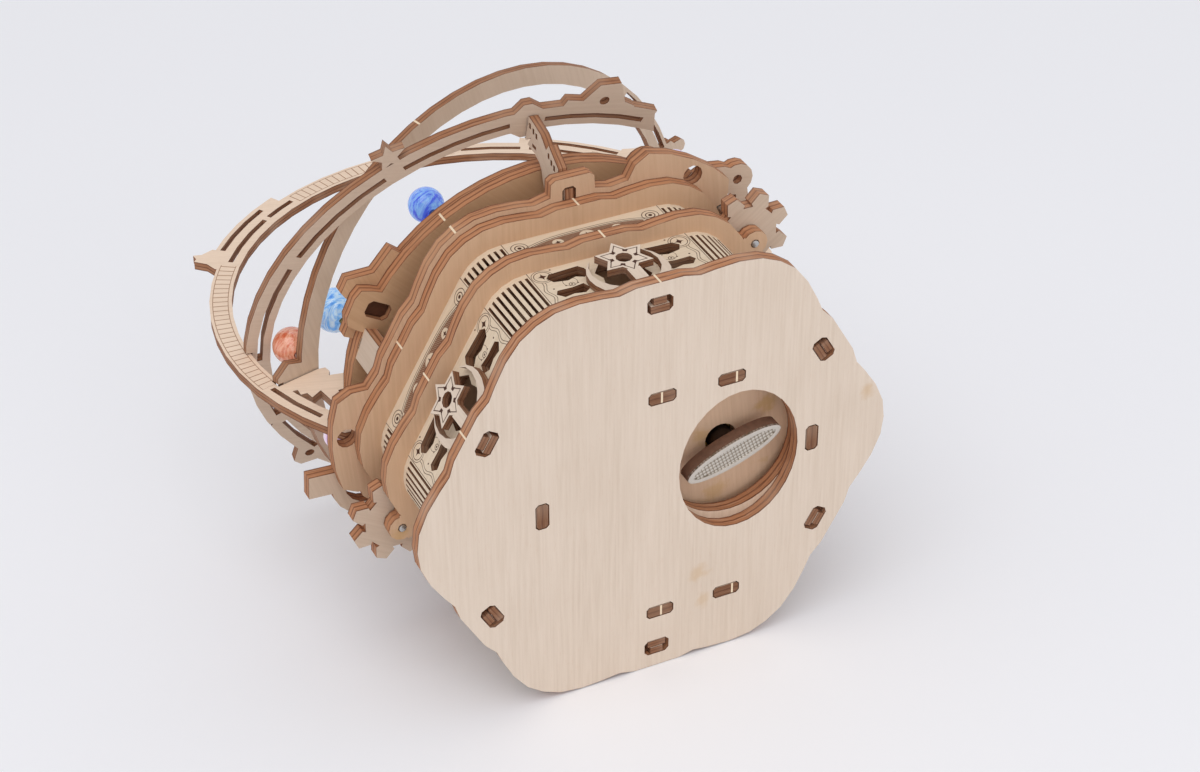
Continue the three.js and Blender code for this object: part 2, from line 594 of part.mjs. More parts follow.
// the drive shaft's two gears are glued into one cluster
const driveGears = joined([
  gear(quickTeeth[0], keyX, lowGearZ, 0, driveShaftRadius + tabGap / 2),
  gear(slowTeeth[0], keyX, highGearZ, 0, driveShaftRadius + tabGap / 2),
  sheet(disc(keyX, 0, keyHubRadius, 16), lowGearZ + gearThickness / 2, gearThickness + gearLift)
    .subtract(through(disc(keyX, 0, driveShaftRadius + tabGap / 2, 16), lowGearZ, 2 * gearThickness)),
]);
const orbitGearLow = gear(quickTeeth[1], 0, lowGearZ, 180 / quickTeeth[1], innerShaftRadius + tabGap / 2);
const orbitGearHigh = gear(slowTeeth[1], 0, highGearZ, 180 / slowTeeth[1], tubeRadius + tabGap / 2);

// ---- sun, planets and their arms ----
const ball = (x, y, z, radius, facets = 12) =>
  solid(new THREE.SphereGeometry(radius, facets, Math.round(facets * 0.6)).rotateX(Math.PI / 2).translate(x, y, z));
const rod = (x, y, low, high, radius, facets = 10) => sheet(disc(x, y, radius, facets), low, high - low);

const tubeTop = crownTop + armHubHeight * 2;
const armLowZ = crownTop + armHubHeight;
const armHighZ = tubeTop + armHubHeight;
const orbitTube = cutBy(rod(0, 0, highGearZ - gearLift / 2, tubeTop, tubeRadius, 16),
  [rod(0, 0, gapZ, tubeTop + overrun, innerShaftRadius + runGap, 12)]);
const innerShaftFoot = fourthZ + seatGap;
const innerShaft = rod(0, 0, innerShaftFoot, armillaryHeight - sunRadius + beadBore, innerShaftRadius, 12);
const sun = cutBy(ball(0, 0, armillaryHeight, sunRadius, 14),
  [rod(0, 0, armillaryHeight - sunRadius - overrun, armillaryHeight - sunRadius + beadBore + tabGap,
    innerShaftRadius + tabGap / 2, 12)]);

// a hub on the shaft and a bent wire that ends inside a bead
function arm(z, bore, out, degrees, beadBottom) {
  const rise = out * 0.18;
  const reach = at(1, degrees);
  const place = (radius, height) => new THREE.Vector3(reach.x * radius, reach.y * radius, height);
  const wireZ = z + armHubHeight / 2;
  const path = new THREE.CurvePath();
  path.add(new THREE.LineCurve3(place(armHubRadius * 0.7, wireZ), place(out - rise, wireZ)));
  path.add(new THREE.QuadraticBezierCurve3(place(out - rise, wireZ), place(out, wireZ), place(out, wireZ + rise)));
  path.add(new THREE.LineCurve3(place(out, wireZ + rise), place(out, beadBottom + beadBore)));
  const wire = new THREE.ExtrudeGeometry(new THREE.Shape(disc(0, 0, wireRadius, 6)),
    { steps: 9, bevelEnabled: false, extrudePath: path });
  return cutBy(joined([rod(0, 0, z, z + armHubHeight, armHubRadius, 16), solid(wire)]),
    [rod(0, 0, z - overrun, z + armHubHeight + overrun, bore, 12)]);
}
function bead(radius, out, degrees, height) {
  const place = at(out, degrees);
  return cutBy(ball(place.x, place.y, height, radius),
    [rod(place.x, place.y, height - radius - overrun, height - radius + beadBore + tabGap * 2,
      wireRadius + tabGap, 10)]);
}
const armPale = arm(armLowZ, innerShaftRadius + runGap, paleOut, paleDegrees, paleHeight - paleRadius);
const armBlue = arm(armHighZ, innerShaftRadius + tabGap / 2, blueOut, blueDegrees, blueHeight - blueRadius);
const beadPale = bead(paleRadius, paleOut, paleDegrees, paleHeight);
const beadBlue = bead(blueRadius, blueOut, blueDegrees, blueHeight);

// ---- side spindles ----
const flowerPoints = (x, y) => Array.from({ length: flowerPetals }, (_, i) => {
  const middle = ((i + 0.5) * fullTurn) / flowerPetals;
  const tipCentre = flowerRadius - flowerPetalHalf;
  return [[flowerRootRadius, -flowerPetalHalf * 0.72], [tipCentre * 0.9, -flowerPetalHalf],
    [flowerRadius - flowerPetalHalf * 0.2, -flowerPetalHalf * 0.55],
    [flowerRadius - flowerPetalHalf * 0.2, flowerPetalHalf * 0.55], [tipCentre * 0.9, flowerPetalHalf],
    [flowerRootRadius, flowerPetalHalf * 0.72]]
    .map(([out, along]) => new THREE.Vector2(out, along).rotateAround(new THREE.Vector2(), middle * degree)
      .add(new THREE.Vector2(x, y)));
}).flat();
const flowerZ = upperWallZ + seatGap;
const flowers = spindlePlaces.map((p) => cutBy(sheet(flowerPoints(p.x, p.y), flowerZ),
  [through(disc(p.x, p.y, spindleRadius + tabGap / 2, 12), flowerZ)]));
const spindleTop = spindleBeadHeight + spindleBeadRadius * 1.2;
const spindles = spindlePlaces.map((p) => rod(p.x, p.y, deckZ - seatGap, spindleTop, spindleRadius, 10));
const spindleBeads = spindlePlaces.map((p) => cutBy(ball(p.x, p.y, spindleBeadHeight, spindleBeadRadius),
  [rod(p.x, p.y, spindleBeadHeight - 2 * spindleBeadRadius, spindleBeadHeight + 2 * spindleBeadRadius,
    spindleRadius + tabGap / 2, 10)]));

// brackets on the fourth plate that steady the spindles
function bracket(index, arms) {
  const p = spindlePlaces[index];
  const degrees = spindleDegrees[index];
  const inward = index === 0 ? 1 : -1;
  const rootPlace = at(spindleOut * 1.01, degrees + inward * 6.6);
  return cutBy(joined([
    sheet(disc(p.x, p.y, bracketRing, 20), gapZ).subtract(through(disc(p.x, p.y, bracketRingHole, 16), gapZ)),
    sheet(disc(p.x, p.y, bracketHubRadius, 12), gapZ),
    sheet(block(p.x, p.y, bracketRing + bracketRingHole, bracketHubRadius, degrees + 90), gapZ),
    sheet(block(rootPlace.x, rootPlace.y, bracketRing, bracketHubRadius * 1.6, degrees + 90), gapZ),
    ...arms,
  ]), [through(disc(p.x, p.y, spindleHole, 8), gapZ)]);
}
const blockPlace = at(blockOut, blockDegrees);
const eyePlace = at(eyeOut, eyeDegrees);
const bracketLeft = bracket(0, [
  sheet(block(blockPlace.x, blockPlace.y, blockLength, blockWidth, blockDegrees + 14), gapZ)]);
const bracketRight = bracket(1, [sheet(disc(eyePlace.x, eyePlace.y, eyeRadius, 14), gapZ)])
  .subtract(through(disc(eyePlace.x, eyePlace.y, eyeHole, 8), gapZ));

// ---- rings ----
// a ring is drawn flat in its own plane, then laid into the plane with the given normal
const flatRing = (inner, outer, z, thickness) => sheet(disc(0, 0, outer, ringFacets), z, thickness)
  .subtract(through(disc(0, 0, inner, ringFacets), z, thickness));
const facetsFor = (from, to) => Math.max(2, Math.round(((to - from) / fullTurn) * ringFacets));
const orbitSpan = orbitSpanShares.map((share) => share * fullTurn);
const ringArc = (inner, outer, from, to, z, thickness) =>
  sheet(arcStrip(inner, outer, from, to, facetsFor(from, to)), z, thickness);
const ringSlots = (table, outer, width, z) => table.map(([from, to, share]) =>
  through(arcStrip(outer * share - width / 2, outer * share + width / 2, from, to, facetsFor(from, to)), z, ringSheet));
const onRing = (table, outer, z) => sheet(table.map(([degrees, share]) => at(outer * share, degrees)), z, ringSheet);
const acrossRing = (table) => table.map(([degrees, share]) => [180 - degrees, share]).reverse();

function laid(body, normalShares, height) {
  const normal = new THREE.Vector3(...normalShares).normalize();
  const first = new THREE.Vector3(1, 0, 0).addScaledVector(normal, -normal.x).normalize();
  const second = new THREE.Vector3().crossVectors(normal, first);
  const place = new THREE.Matrix4().makeBasis(first, second, normal).setPosition(0, 0, height);
  return solid(geometryOf(body).applyMatrix4(place));
}

// a lug with stepped shoulders
const ringLug = (outer, reach, middle, half, z) => sheet([[-1, -0.5], [-1, 0.25], [-0.6, 0.4], [-0.5, 0.85],
  [-0.2, 1], [0.2, 1], [0.5, 0.85], [0.6, 0.4], [1, 0.25], [1, -0.5]].map(([shareAlong, shareOut]) =>
  new THREE.Vector2(outer + reach * shareOut, half * shareAlong).rotateAround(new THREE.Vector2(), middle * degree))
  .reverse(), z, ringSheet);

// the inner ring, with tongues that reach to the meridian and a finial
const innerRingFlat = cutBy(joined([
  flatRing(innerRingInner, innerRingOuter, -innerRingDrop, ringSheet),
  onRing(innerTongueShares, innerRingOuter, -innerRingDrop),
  onRing(acrossRing(innerTongueShares), innerRingOuter, -innerRingDrop),
  ringLug(innerRingOuter, innerLugReach, innerLugShare * fullTurn, innerLugHalf, -innerRingDrop),
]), ringSlots(innerSlotShares, innerRingOuter, ringSlotWidth, -innerRingDrop));
const tongueHalfWidth = innerRingOuter * 0.12;
const innerRoom = laid(joined([
  flatRing(innerRingInner - seatGap, innerRingOuter + seatGap, -innerRingDrop - seatGap, ringSheet + 2 * seatGap),
  sheet(block(0, 0, 2 * meridianInner + 2 * overrun, tongueHalfWidth), -innerRingDrop - seatGap,
    ringSheet + 2 * seatGap).subtract(through(disc(0, 0, innerRingInner, ringFacets), -innerRingDrop - seatGap,
    ringSheet + 2 * seatGap)),
]), innerNormalShares, armillaryHeight);

// the meridian stands upright in the X-Z plane, its feet on the fourth plate
const meridianNormalShares = [0, -1, 0];
function meridianFlat(inner, outer, z, thickness) {
  return flatRing(inner, outer, z, thickness).subtract(
    sheet(block(0, -meridianOuter - (armillaryHeight - gapZ), 2 * meridianOuter + 2 * overrun, 2 * meridianOuter),
      z - overrun, thickness + 2 * overrun));
}
const meridianZ = -ringSheet / 2;
const meridian = laid(cutBy(joined([
  meridianFlat(meridianInner, meridianOuter, meridianZ, ringSheet),
  ...crescentSpanShares.map(([from, to]) => ringArc(meridianOuter - meridianBand / 2, meridianOuter + crescentStrip,
    from, to, meridianZ, ringSheet)),
  onRing(finialShares, meridianOuter, meridianZ),
  onRing(acrossRing(finialShares), meridianOuter, meridianZ),
  ringLug(meridianOuter, zenithReach, 90, zenithReach * 1.4, meridianZ),
  sheet(saddleShares.map(([across, up]) => new THREE.Vector2(meridianInner * across, meridianInner * up)),
    meridianZ, ringSheet),
]), [
  ...ringSlots(meridianSlotShares, meridianOuter, ringSlotWidth, meridianZ),
  ...ringSlots(crescentSlotShares, meridianOuter, ringSlotWidth, meridianZ),
]), meridianNormalShares, armillaryHeight).subtract(innerRoom)
  .subtract(sheet(disc(0, 0, topPlateRadius + seatGap, 54), topZ, 2 * ply + seatGap));
const meridianRoom = laid(meridianFlat(meridianInner - seatGap, meridianOuter + seatGap, meridianZ - seatGap,
  ringSheet + 2 * seatGap), meridianNormalShares, armillaryHeight);
const innerRing = laid(innerRingFlat, innerNormalShares, armillaryHeight).subtract(meridianRoom);

// the slanted half ring
const starTips = Array.from({ length: 10 }, (_, i) => {
  const centre = at(orbitOuter * orbitStarShares[1], orbitStarShares[0]);
  return at(i % 2 ? orbitStar * 0.45 : orbitStar, orbitStarShares[0] + 14 + (i * fullTurn) / 10).add(centre);
});
const slantedRing = laid(cutBy(joined([
  ringArc(orbitInner, orbitOuter, ...orbitSpan, orbitLift, ringSheet),
  ...orbitLugShares.map((table) => onRing(table, orbitOuter, orbitLift)),
  sheet(starTips, orbitLift, ringSheet),
]), [
  through(orbitNotchShares.map(([degrees, share]) => at(orbitOuter * share, degrees)), orbitLift, ringSheet),
  ...ringSlots(orbitSlotShares, orbitOuter, ringSlotWidth, orbitLift),
  ...orbitHoleShares.map(([degrees, share]) => {
    const place = at(orbitOuter * share, degrees);
    return through(disc(place.x, place.y, orbitHoleRadius, 12), orbitLift, ringSheet);
  }),
]), orbitNormalShares, orbitHeight).subtract(meridianRoom);
const orbitRoom = laid(joined([
  ringArc(orbitInner - seatGap, orbitOuter + seatGap, ...orbitSpan, orbitLift - seatGap,
    ringSheet + 2 * seatGap),
  ringArc(orbitInner * 0.967 - seatGap, orbitOuter * 1.04, 82, 94, orbitLift - seatGap,
    ringSheet + 2 * seatGap),
]), orbitNormalShares, orbitHeight);

// the orange planet stands on a pin in the inner ring's plate
const orangePlace = at(orangeOut, orangeDegrees);
const plateTopAt = (x, y) => armillaryHeight
  - (innerNormalShares[0] * x + innerNormalShares[1] * y) / innerNormalShares[2]
  + (ringSheet - innerRingDrop) / innerNormalShares[2];
const orangeFoot = plateTopAt(orangePlace.x, orangePlace.y);
const orangeHeight = orangeFoot + orangeRise + orangeRadius;
const orangePin = rod(orangePlace.x, orangePlace.y, orangeFoot + seatGap, orangeHeight, wireRadius, 8);
const beadOrange = joined([ball(orangePlace.x, orangePlace.y, orangeHeight, orangeRadius), orangePin]);

// ---- upright ----
const uprightPlace = ([shareY, shareZ]) => new THREE.Vector2(
  uprightFootNear + uprightDepth * shareY, gapZ + (uprightTop - gapZ) * shareZ);
const standing = (points, from, depth) => solid(new THREE.ExtrudeGeometry(new THREE.Shape(points),
  { depth, bevelEnabled: false }).rotateX(Math.PI / 2).rotateZ(Math.PI / 2).translate(from, 0, 0));
const upright = cutBy(joined([
  standing(uprightShares.map(uprightPlace), uprightX, ringSheet),
  standing(block(uprightTabY, fourthZ + ply / 2 + overrun / 2, uprightTab, ply + overrun), uprightX, ringSheet),
]), uprightWindowShares.map(([across, up, height, width]) => {
  const place = uprightPlace([across, up]);
  return standing(block(place.x, place.y, width * uprightDepth, height * (uprightTop - gapZ)),
    uprightX - overrun, ringSheet + 2 * overrun);
})).subtract(orbitRoom);

// ---- movement ----
const bearingHeight = drumAxisHeight + drumRadius * 0.55;
const bearing = (y) => sheet(block(drumX, y, drumRadius * 1.7, drumBearingSheet), frameTop, bearingHeight - frameTop);
const bearingY = drumHalfLength + drumBearingSheet / 2 + seatGap;
const pinRadius = 1;
const drumRod = (y0, y1, radius, facets) => solid(new THREE.CylinderGeometry(radius, radius, y1 - y0, facets)
  .translate(0, (y0 + y1) / 2, 0).translate(drumX, frameY, drumAxisHeight));
const drumEnd = drumHalfLength + drumBearingSheet + 2 * seatGap;
const combZ = drumAxisHeight - combThickness / 2;
const combTip = drumX + drumPinRadius + seatGap;
const combBack = combBackX;
const governorX = frameX - frameHalfX * 0.55;
const governorY = frameY - frameHalfY * 0.62;
const movementFrame = cutBy(joined([
  sheet(block(governorX, governorY, governorSize, governorSize), frameTop, governorSize * 0.8),
  rod(governorX, governorY, frameTop + governorSize * 0.8 - overrun, frameTop + governorSize * 1.2,
    governorSize * 0.3, 14),
  sheet(block(frameX, frameY, 2 * frameHalfX, 2 * frameHalfY), recessTop, frameSheet),
  bearing(frameY - bearingY), bearing(frameY + bearingY),
  sheet(block((combRootX + combBack) / 2, frameY, combBack - combRootX, 2 * drumHalfLength), frameTop, combZ - frameTop),
]), [
  drumRod(-drumEnd - overrun, drumEnd + overrun, pinRadius + runGap, 10),
  through(disc(keyX, 0, driveShaftRadius + runGap, 16), recessTop, frameSheet),
]);
const springBarrel = cutBy(joined([
  rod(keyX, 0, frameTop, frameTop + barrelHeight, barrelRadius, 24),
  rod(keyX, 0, frameTop + barrelHeight * 0.7, frameTop + barrelHeight * 1.1, barrelRadius * 0.5, 16),
]), [rod(keyX, 0, recessTop, frameTop + barrelHeight * 1.1 + overrun, driveShaftRadius + runGap, 12)]);

const drumPins = Array.from({ length: drumPinRows }, (_, row) => Array.from({ length: drumPinColumns }, (_, column) => {
  const angle = ((row * 5 + column * 7) % drumPinRows) * (fullTurn / drumPinRows) + 11;
  const along = frameY - drumHalfLength * 0.9 + (drumHalfLength * 1.8 * (column + (row % 3) / 3)) / drumPinColumns;
  const pin = new THREE.BoxGeometry(drumPinRadius - drumRadius + overrun / 2, drumPinRadius * 0.1, drumPinRadius * 0.1)
    .translate((drumPinRadius + drumRadius - overrun / 2) / 2, 0, 0).rotateY(angle * degree)
    .translate(drumX, along, drumAxisHeight);
  return solid(pin);
})).flat().filter((_, i) => i % 2 === 0);
const pinnedDrum = joined([drumRod(-drumHalfLength, drumHalfLength, drumRadius, 20),
  drumRod(-drumEnd, drumEnd, pinRadius, 10), ...drumPins]);

const combPitch = (2 * drumHalfLength) / combTeeth;
const combPoints = [new THREE.Vector2(combBack, frameY - drumHalfLength), new THREE.Vector2(combBack, frameY + drumHalfLength),
  ...Array.from({ length: combTeeth }, (_, i) => {
    const high = frameY + drumHalfLength - i * combPitch;
    const low = high - combPitch * (1 - combToothGapShare);
    const root = combRootX - (combRootX - combTip) * 0.2 * (1 - i / combTeeth);
    return [new THREE.Vector2(combTip, high), new THREE.Vector2(combTip, low), new THREE.Vector2(root, low),
      new THREE.Vector2(root, high - combPitch)];
  }).flat().slice(0, -1)];
const comb = sheet(combPoints, combZ, combThickness);

// ---- the assembly ----
const musicBox = new THREE.Group();
function add(name, body, material) {
  const mesh = new THREE.Mesh(geometryOf(body), material);
  mesh.name = name;
  musicBox.add(mesh);
  return mesh;
}

add('base_plate', basePlate, birchPale);
add('inner_plate', innerPlate, birch);
add('recess_floor', recessFloor, birch);
add('box_wall_back', boxBack, birch);
add('box_wall_front', boxFront, birch);
add('box_wall_left', boxLeft, birch);
add('box_wall_right', boxRight, birch);
add('lower_wall', lowerWall, birchPale);
sides.forEach((side, i) => {
  add(`crescents_${i + 1}`, crescents, birchPale).rotation.z = side * degree;
  add(`star_${i + 1}`, star, birchPale).rotation.z = side * degree;
});
add('second_plate', deckPlate, birch);
add('upper_wall', upperWall, birchPale);
add('third_plate', thirdPlate, birch);
add('fourth_plate', fourthPlate, birch);
postDegrees.forEach((degrees, i) => add(`spacer_post_${i + 1}`, posts[i], birchDark));
add('top_plate', topPlate, birch);
add('crown_plate', crownPlate, birch);
add('ear_key', earKey, birchDark);
add('meridian_ring', meridian, birchPale);
add('slanted_ring', slantedRing, birch);
add('inner_ring', innerRing, birch);
add('upright', upright, birch);
add('bracket_left', bracketLeft, birch);
add('bracket_right', bracketRight, birch);
['left', 'right'].forEach((name, i) => {
  add(`spindle_${name}`, spindles[i], steel);
  add(`flower_gear_${name}`, flowers[i], birch);
});
add('bead_pink', spindleBeads[0], glass(0xe8c6e6));
add('bead_purple', spindleBeads[1], glass(0x9a74d0));
add('bead_orange', beadOrange, glass(0xe07a4c));
add('winding_key_face', keyPlate, steel);
add('winding_key', keyHead, birchDark);
add('drive_shaft', driveShaft, steel);
add('drive_gears', driveGears, birch);
add('orbit_gear_low', orbitGearLow, birch);
add('orbit_gear_high', orbitGearHigh, birch);
add('orbit_shaft', innerShaft, steel);
add('sun', sun, glass(0xf2c14e));
add('orbit_tube_arm', joined([orbitTube, armPale]), brass);
add('arm_blue', armBlue, steel);
add('bead_pale', beadPale, glass(0x5aa9e6));
add('bead_blue', beadBlue, glass(0x2f6fd6));
add('movement_frame', movementFrame, brass);
add('spring_barrel', springBarrel, steel);
add('pinned_drum', pinnedDrum, brass);
add('comb', comb, steel);

export default musicBox;
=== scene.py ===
# The looks of a plywood music box with an orrery inside slanted rings, lying on its side.
import math
import bpy
import bmesh
import json
from mathutils import Vector, Matrix

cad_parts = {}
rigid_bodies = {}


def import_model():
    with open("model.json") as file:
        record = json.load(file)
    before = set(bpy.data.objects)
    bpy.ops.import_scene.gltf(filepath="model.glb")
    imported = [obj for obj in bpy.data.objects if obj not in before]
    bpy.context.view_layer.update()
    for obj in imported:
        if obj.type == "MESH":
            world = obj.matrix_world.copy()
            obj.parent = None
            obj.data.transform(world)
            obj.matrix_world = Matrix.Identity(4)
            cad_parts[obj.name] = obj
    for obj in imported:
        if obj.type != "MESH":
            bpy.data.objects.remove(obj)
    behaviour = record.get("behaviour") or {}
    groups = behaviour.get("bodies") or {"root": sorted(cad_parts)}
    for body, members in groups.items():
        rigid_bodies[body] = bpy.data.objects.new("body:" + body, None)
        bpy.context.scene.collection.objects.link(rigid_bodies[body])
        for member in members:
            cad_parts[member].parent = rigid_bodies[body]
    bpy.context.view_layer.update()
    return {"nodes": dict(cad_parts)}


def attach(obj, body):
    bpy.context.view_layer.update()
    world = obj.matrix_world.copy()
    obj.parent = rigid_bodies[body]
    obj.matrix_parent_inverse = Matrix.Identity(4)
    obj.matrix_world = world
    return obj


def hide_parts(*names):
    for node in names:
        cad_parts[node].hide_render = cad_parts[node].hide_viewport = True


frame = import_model()
nodes = frame["nodes"]

# lengths are in millimetres and angles in degrees; MM makes metres of them
MM = 0.001
PLY = 3.0                                  # the sheet of every plate
RING_SHEET = 2.0                           # the thinner sheet of the rings, the upright and the walls
ORNAMENT_SHEET = 1.6                       # the stars and crescents
WALL_BEND = 10.5                           # outer radius of a wall's bent corner
SIDES = [30 + 60 * k for k in range(6)]    # the ways that the flat sides face
RING_CENTRE = 79.35                        # height of the rings' common centre, where the sun sits
STAR_HEIGHT = 15.8                         # of the middle of a star on the lower wall
LENS_HEIGHT = 31.95                        # of the middle of the lens on the upper wall

KEY_X = -18.2                              # the axis of the winding key and the drive shaft
KEY_TURN = 161                             # the way the key lies
KEY_HALF_LENGTH, KEY_HALF_WIDTH = 11.1, 2.95
KEY_LOW, KEY_SEAM, KEY_TOP = 1.7, 2.3, 5.3     # heights: its silver face up to the seam, its grip from there
KEY_FACE_CENTRE = (KEY_X * MM, 0, 2 * MM)

FLOWER_RADIUS = 47.6                       # from the middle to both flower spindles
FLOWER_LEFT, FLOWER_RIGHT = -15, 135
BLUE_ARM, PALE_ARM, ORANGE_BEAD = (25.9, 58.6), (39.5, 10.6), (50.4, 4.2)   # distance out, azimuth
FLAT_END = 12                              # a face with more corners than this is a round end

# ---------------------------------------------------------------- camera, floor and light
LENS, SENSOR = 83.253, 36
CAMERA_PLACE = Vector((202.81, 332.58, -394.66)) * MM
VIEW_RIGHT = Vector((-0.90022, -0.00280, -0.43543))
VIEW_UP = Vector((-0.25097, 0.82052, 0.51358))
VIEW_AHEAD = Vector((-0.35584, -0.57162, 0.73935))
FLOOR_UP = Vector((0, 0.995, 0.1004)).normalized()
FLOOR_POINT = Vector((0, -47.6, 0)) * MM
MIDDLE = Vector((0, 0, 62)) * MM


def make_camera():
    camera = bpy.data.objects.new("camera", bpy.data.cameras.new("camera"))
    camera.data.sensor_width = SENSOR
    camera.data.lens = LENS
    camera.data.clip_start = 0.01
    place = Matrix((VIEW_RIGHT, VIEW_UP, -VIEW_AHEAD)).transposed().to_4x4()
    place.translation = CAMERA_PLACE
    camera.matrix_world = place
    bpy.context.scene.collection.objects.link(camera)
    bpy.context.scene.camera = camera


def aim(obj, place, target):
    back = (place - target).normalized()
    obj.matrix_world = Matrix.Translation(place) @ back.to_track_quat("Z", "Y").to_matrix().to_4x4()


def softbox(name, place, size, power, tint):
    lamp = bpy.data.lights.new(name, "AREA")
    lamp.shape = "DISK"
    lamp.size = size
    lamp.energy = power
    lamp.color = tint
    obj = bpy.data.objects.new(name, lamp)
    bpy.context.scene.collection.objects.link(obj)
    aim(obj, place, MIDDLE)


# ---------------------------------------------------------------- shader helpers
class Shader:
    """Short calls for the nodes of one material or node group."""

    def __init__(self, tree):
        self.tree = tree

    def add(self, kind, **settings):
        node = self.tree.nodes.new(kind)
        for key, value in settings.items():
            setattr(node, key, value)
        return node

    def put(self, socket, value):
        if isinstance(value, bpy.types.NodeSocket):
            self.tree.links.new(value, socket)
        elif value is not None:
            socket.default_value = value

    def math(self, operation, a, b=None):
        node = self.add("ShaderNodeMath", operation=operation)
        for socket, value in zip(node.inputs, (a, b)):
            self.put(socket, value)
        return node.outputs[0]

    def vector(self, operation, a, b=None, scale=None):
        node = self.add("ShaderNodeVectorMath", operation=operation)
        self.put(node.inputs[0], a)
        if b is not None:
            self.put(node.inputs[1], b)
        if scale is not None:
            self.put(node.inputs["Scale"], scale)
        return node.outputs["Value" if operation in ("DOT_PRODUCT", "LENGTH") else "Vector"]

    def combine(self, x, y, z):
        node = self.add("ShaderNodeCombineXYZ")
        for socket, value in zip(node.inputs, (x, y, z)):
            self.put(socket, value)
        return node.outputs[0]

    def separate(self, vector):
        node = self.add("ShaderNodeSeparateXYZ")
        self.put(node.inputs[0], vector)
        return node.outputs

    def noise(self, vector, scale=1.0, detail=3.0, rough=0.55, distortion=0.0):
        node = self.add("ShaderNodeTexNoise")
        self.put(node.inputs["Vector"], vector)
        node.inputs["Scale"].default_value = scale
        node.inputs["Detail"].default_value = detail
        node.inputs["Roughness"].default_value = rough
        node.inputs["Distortion"].default_value = distortion
        return node.outputs["Fac"]

    def range(self, value, low, high, to_low=0.0, to_high=1.0, smooth=False):
        node = self.add("ShaderNodeMapRange", interpolation_type="SMOOTHSTEP" if smooth else "LINEAR")
        node.clamp = True
        self.put(node.inputs["Value"], value)
        for key, number in (("From Min", low), ("From Max", high), ("To Min", to_low), ("To Max", to_high)):
            self.put(node.inputs[key], number)
        return node.outputs[0]

    def mix(self, share, a, b):
        node = self.add("ShaderNodeMix", data_type="RGBA")
        self.put(node.inputs[0], share)
        self.put(node.inputs[6], a)
        self.put(node.inputs[7], b)
        return node.outputs[2]

    def mix_values(self, share, a, b):
        node = self.add("ShaderNodeMix", data_type="FLOAT")
        self.put(node.inputs[0], share)
        self.put(node.inputs[2], a)
        self.put(node.inputs[3], b)
        return node.outputs[0]

    def ramp(self, value, stops):
        node = self.add("ShaderNodeValToRGB")
        ramp = node.color_ramp
        while len(ramp.elements) < len(stops):
            ramp.elements.new(0.5)
        for element, (position, colour) in zip(ramp.elements, stops):
            element.position = position
            element.color = (*colour, 1)
        self.put(node.inputs[0], value)
        return node.outputs[0]


def rgb(r, g, b):
    """A colour as seen in a picture, 0 to 255, made linear."""
    def linear(v):
        v /= 255
        return v / 12.92 if v <= 0.04045 else ((v + 0.055) / 1.055) ** 2.4
    return (linear(r), linear(g), linear(b))


def turned_axis(degrees):
    return (math.cos(math.radians(degrees)), math.sin(math.radians(degrees)), 0)


def group(name, inputs, outputs):
    tree = bpy.data.node_groups.new(name, "ShaderNodeTree")
    for label, kind in inputs:
        tree.interface.new_socket(label, in_out="INPUT", socket_type=kind)
    for label, kind in outputs:
        tree.interface.new_socket(label, in_out="OUTPUT", socket_type=kind)
    given = tree.nodes.new("NodeGroupInput").outputs
    return Shader(tree), given, tree.nodes.new("NodeGroupOutput").inputs


FLOAT, VECTOR, COLOR = "NodeSocketFloat", "NodeSocketVector", "NodeSocketColor"


def sheet_place_group():
    """Where a point lies in a flat sheet: along and across the grain, through the thickness, and whether
    it is on a face."""
    s, given, out = group("sheet_place",
                          [("Axis", VECTOR), ("Offset", FLOAT), ("Grain", VECTOR), ("Sheet", FLOAT)],
                          [("Along", FLOAT), ("Across", FLOAT), ("Depth", FLOAT), ("Face", FLOAT),
                           ("Upper", FLOAT)])
    here = s.add("ShaderNodeTexCoord")
    height = s.vector("DOT_PRODUCT", here.outputs["Object"], given["Axis"])
    depth = s.math("SUBTRACT", height, given["Offset"])
    s.put(out["Depth"], s.math("DIVIDE", depth, given["Sheet"]))
    s.put(out["Along"], s.vector("DOT_PRODUCT", here.outputs["Object"], given["Grain"]))
    side = s.vector("CROSS_PRODUCT", given["Axis"], given["Grain"])
    s.put(out["Across"], s.vector("DOT_PRODUCT", here.outputs["Object"], side))
    facing = s.vector("DOT_PRODUCT", here.outputs["Normal"], given["Axis"])
    s.put(out["Face"], s.range(s.math("ABSOLUTE", facing), 0.6, 0.8))
    s.put(out["Upper"], s.math("GREATER_THAN", facing, 0.5))


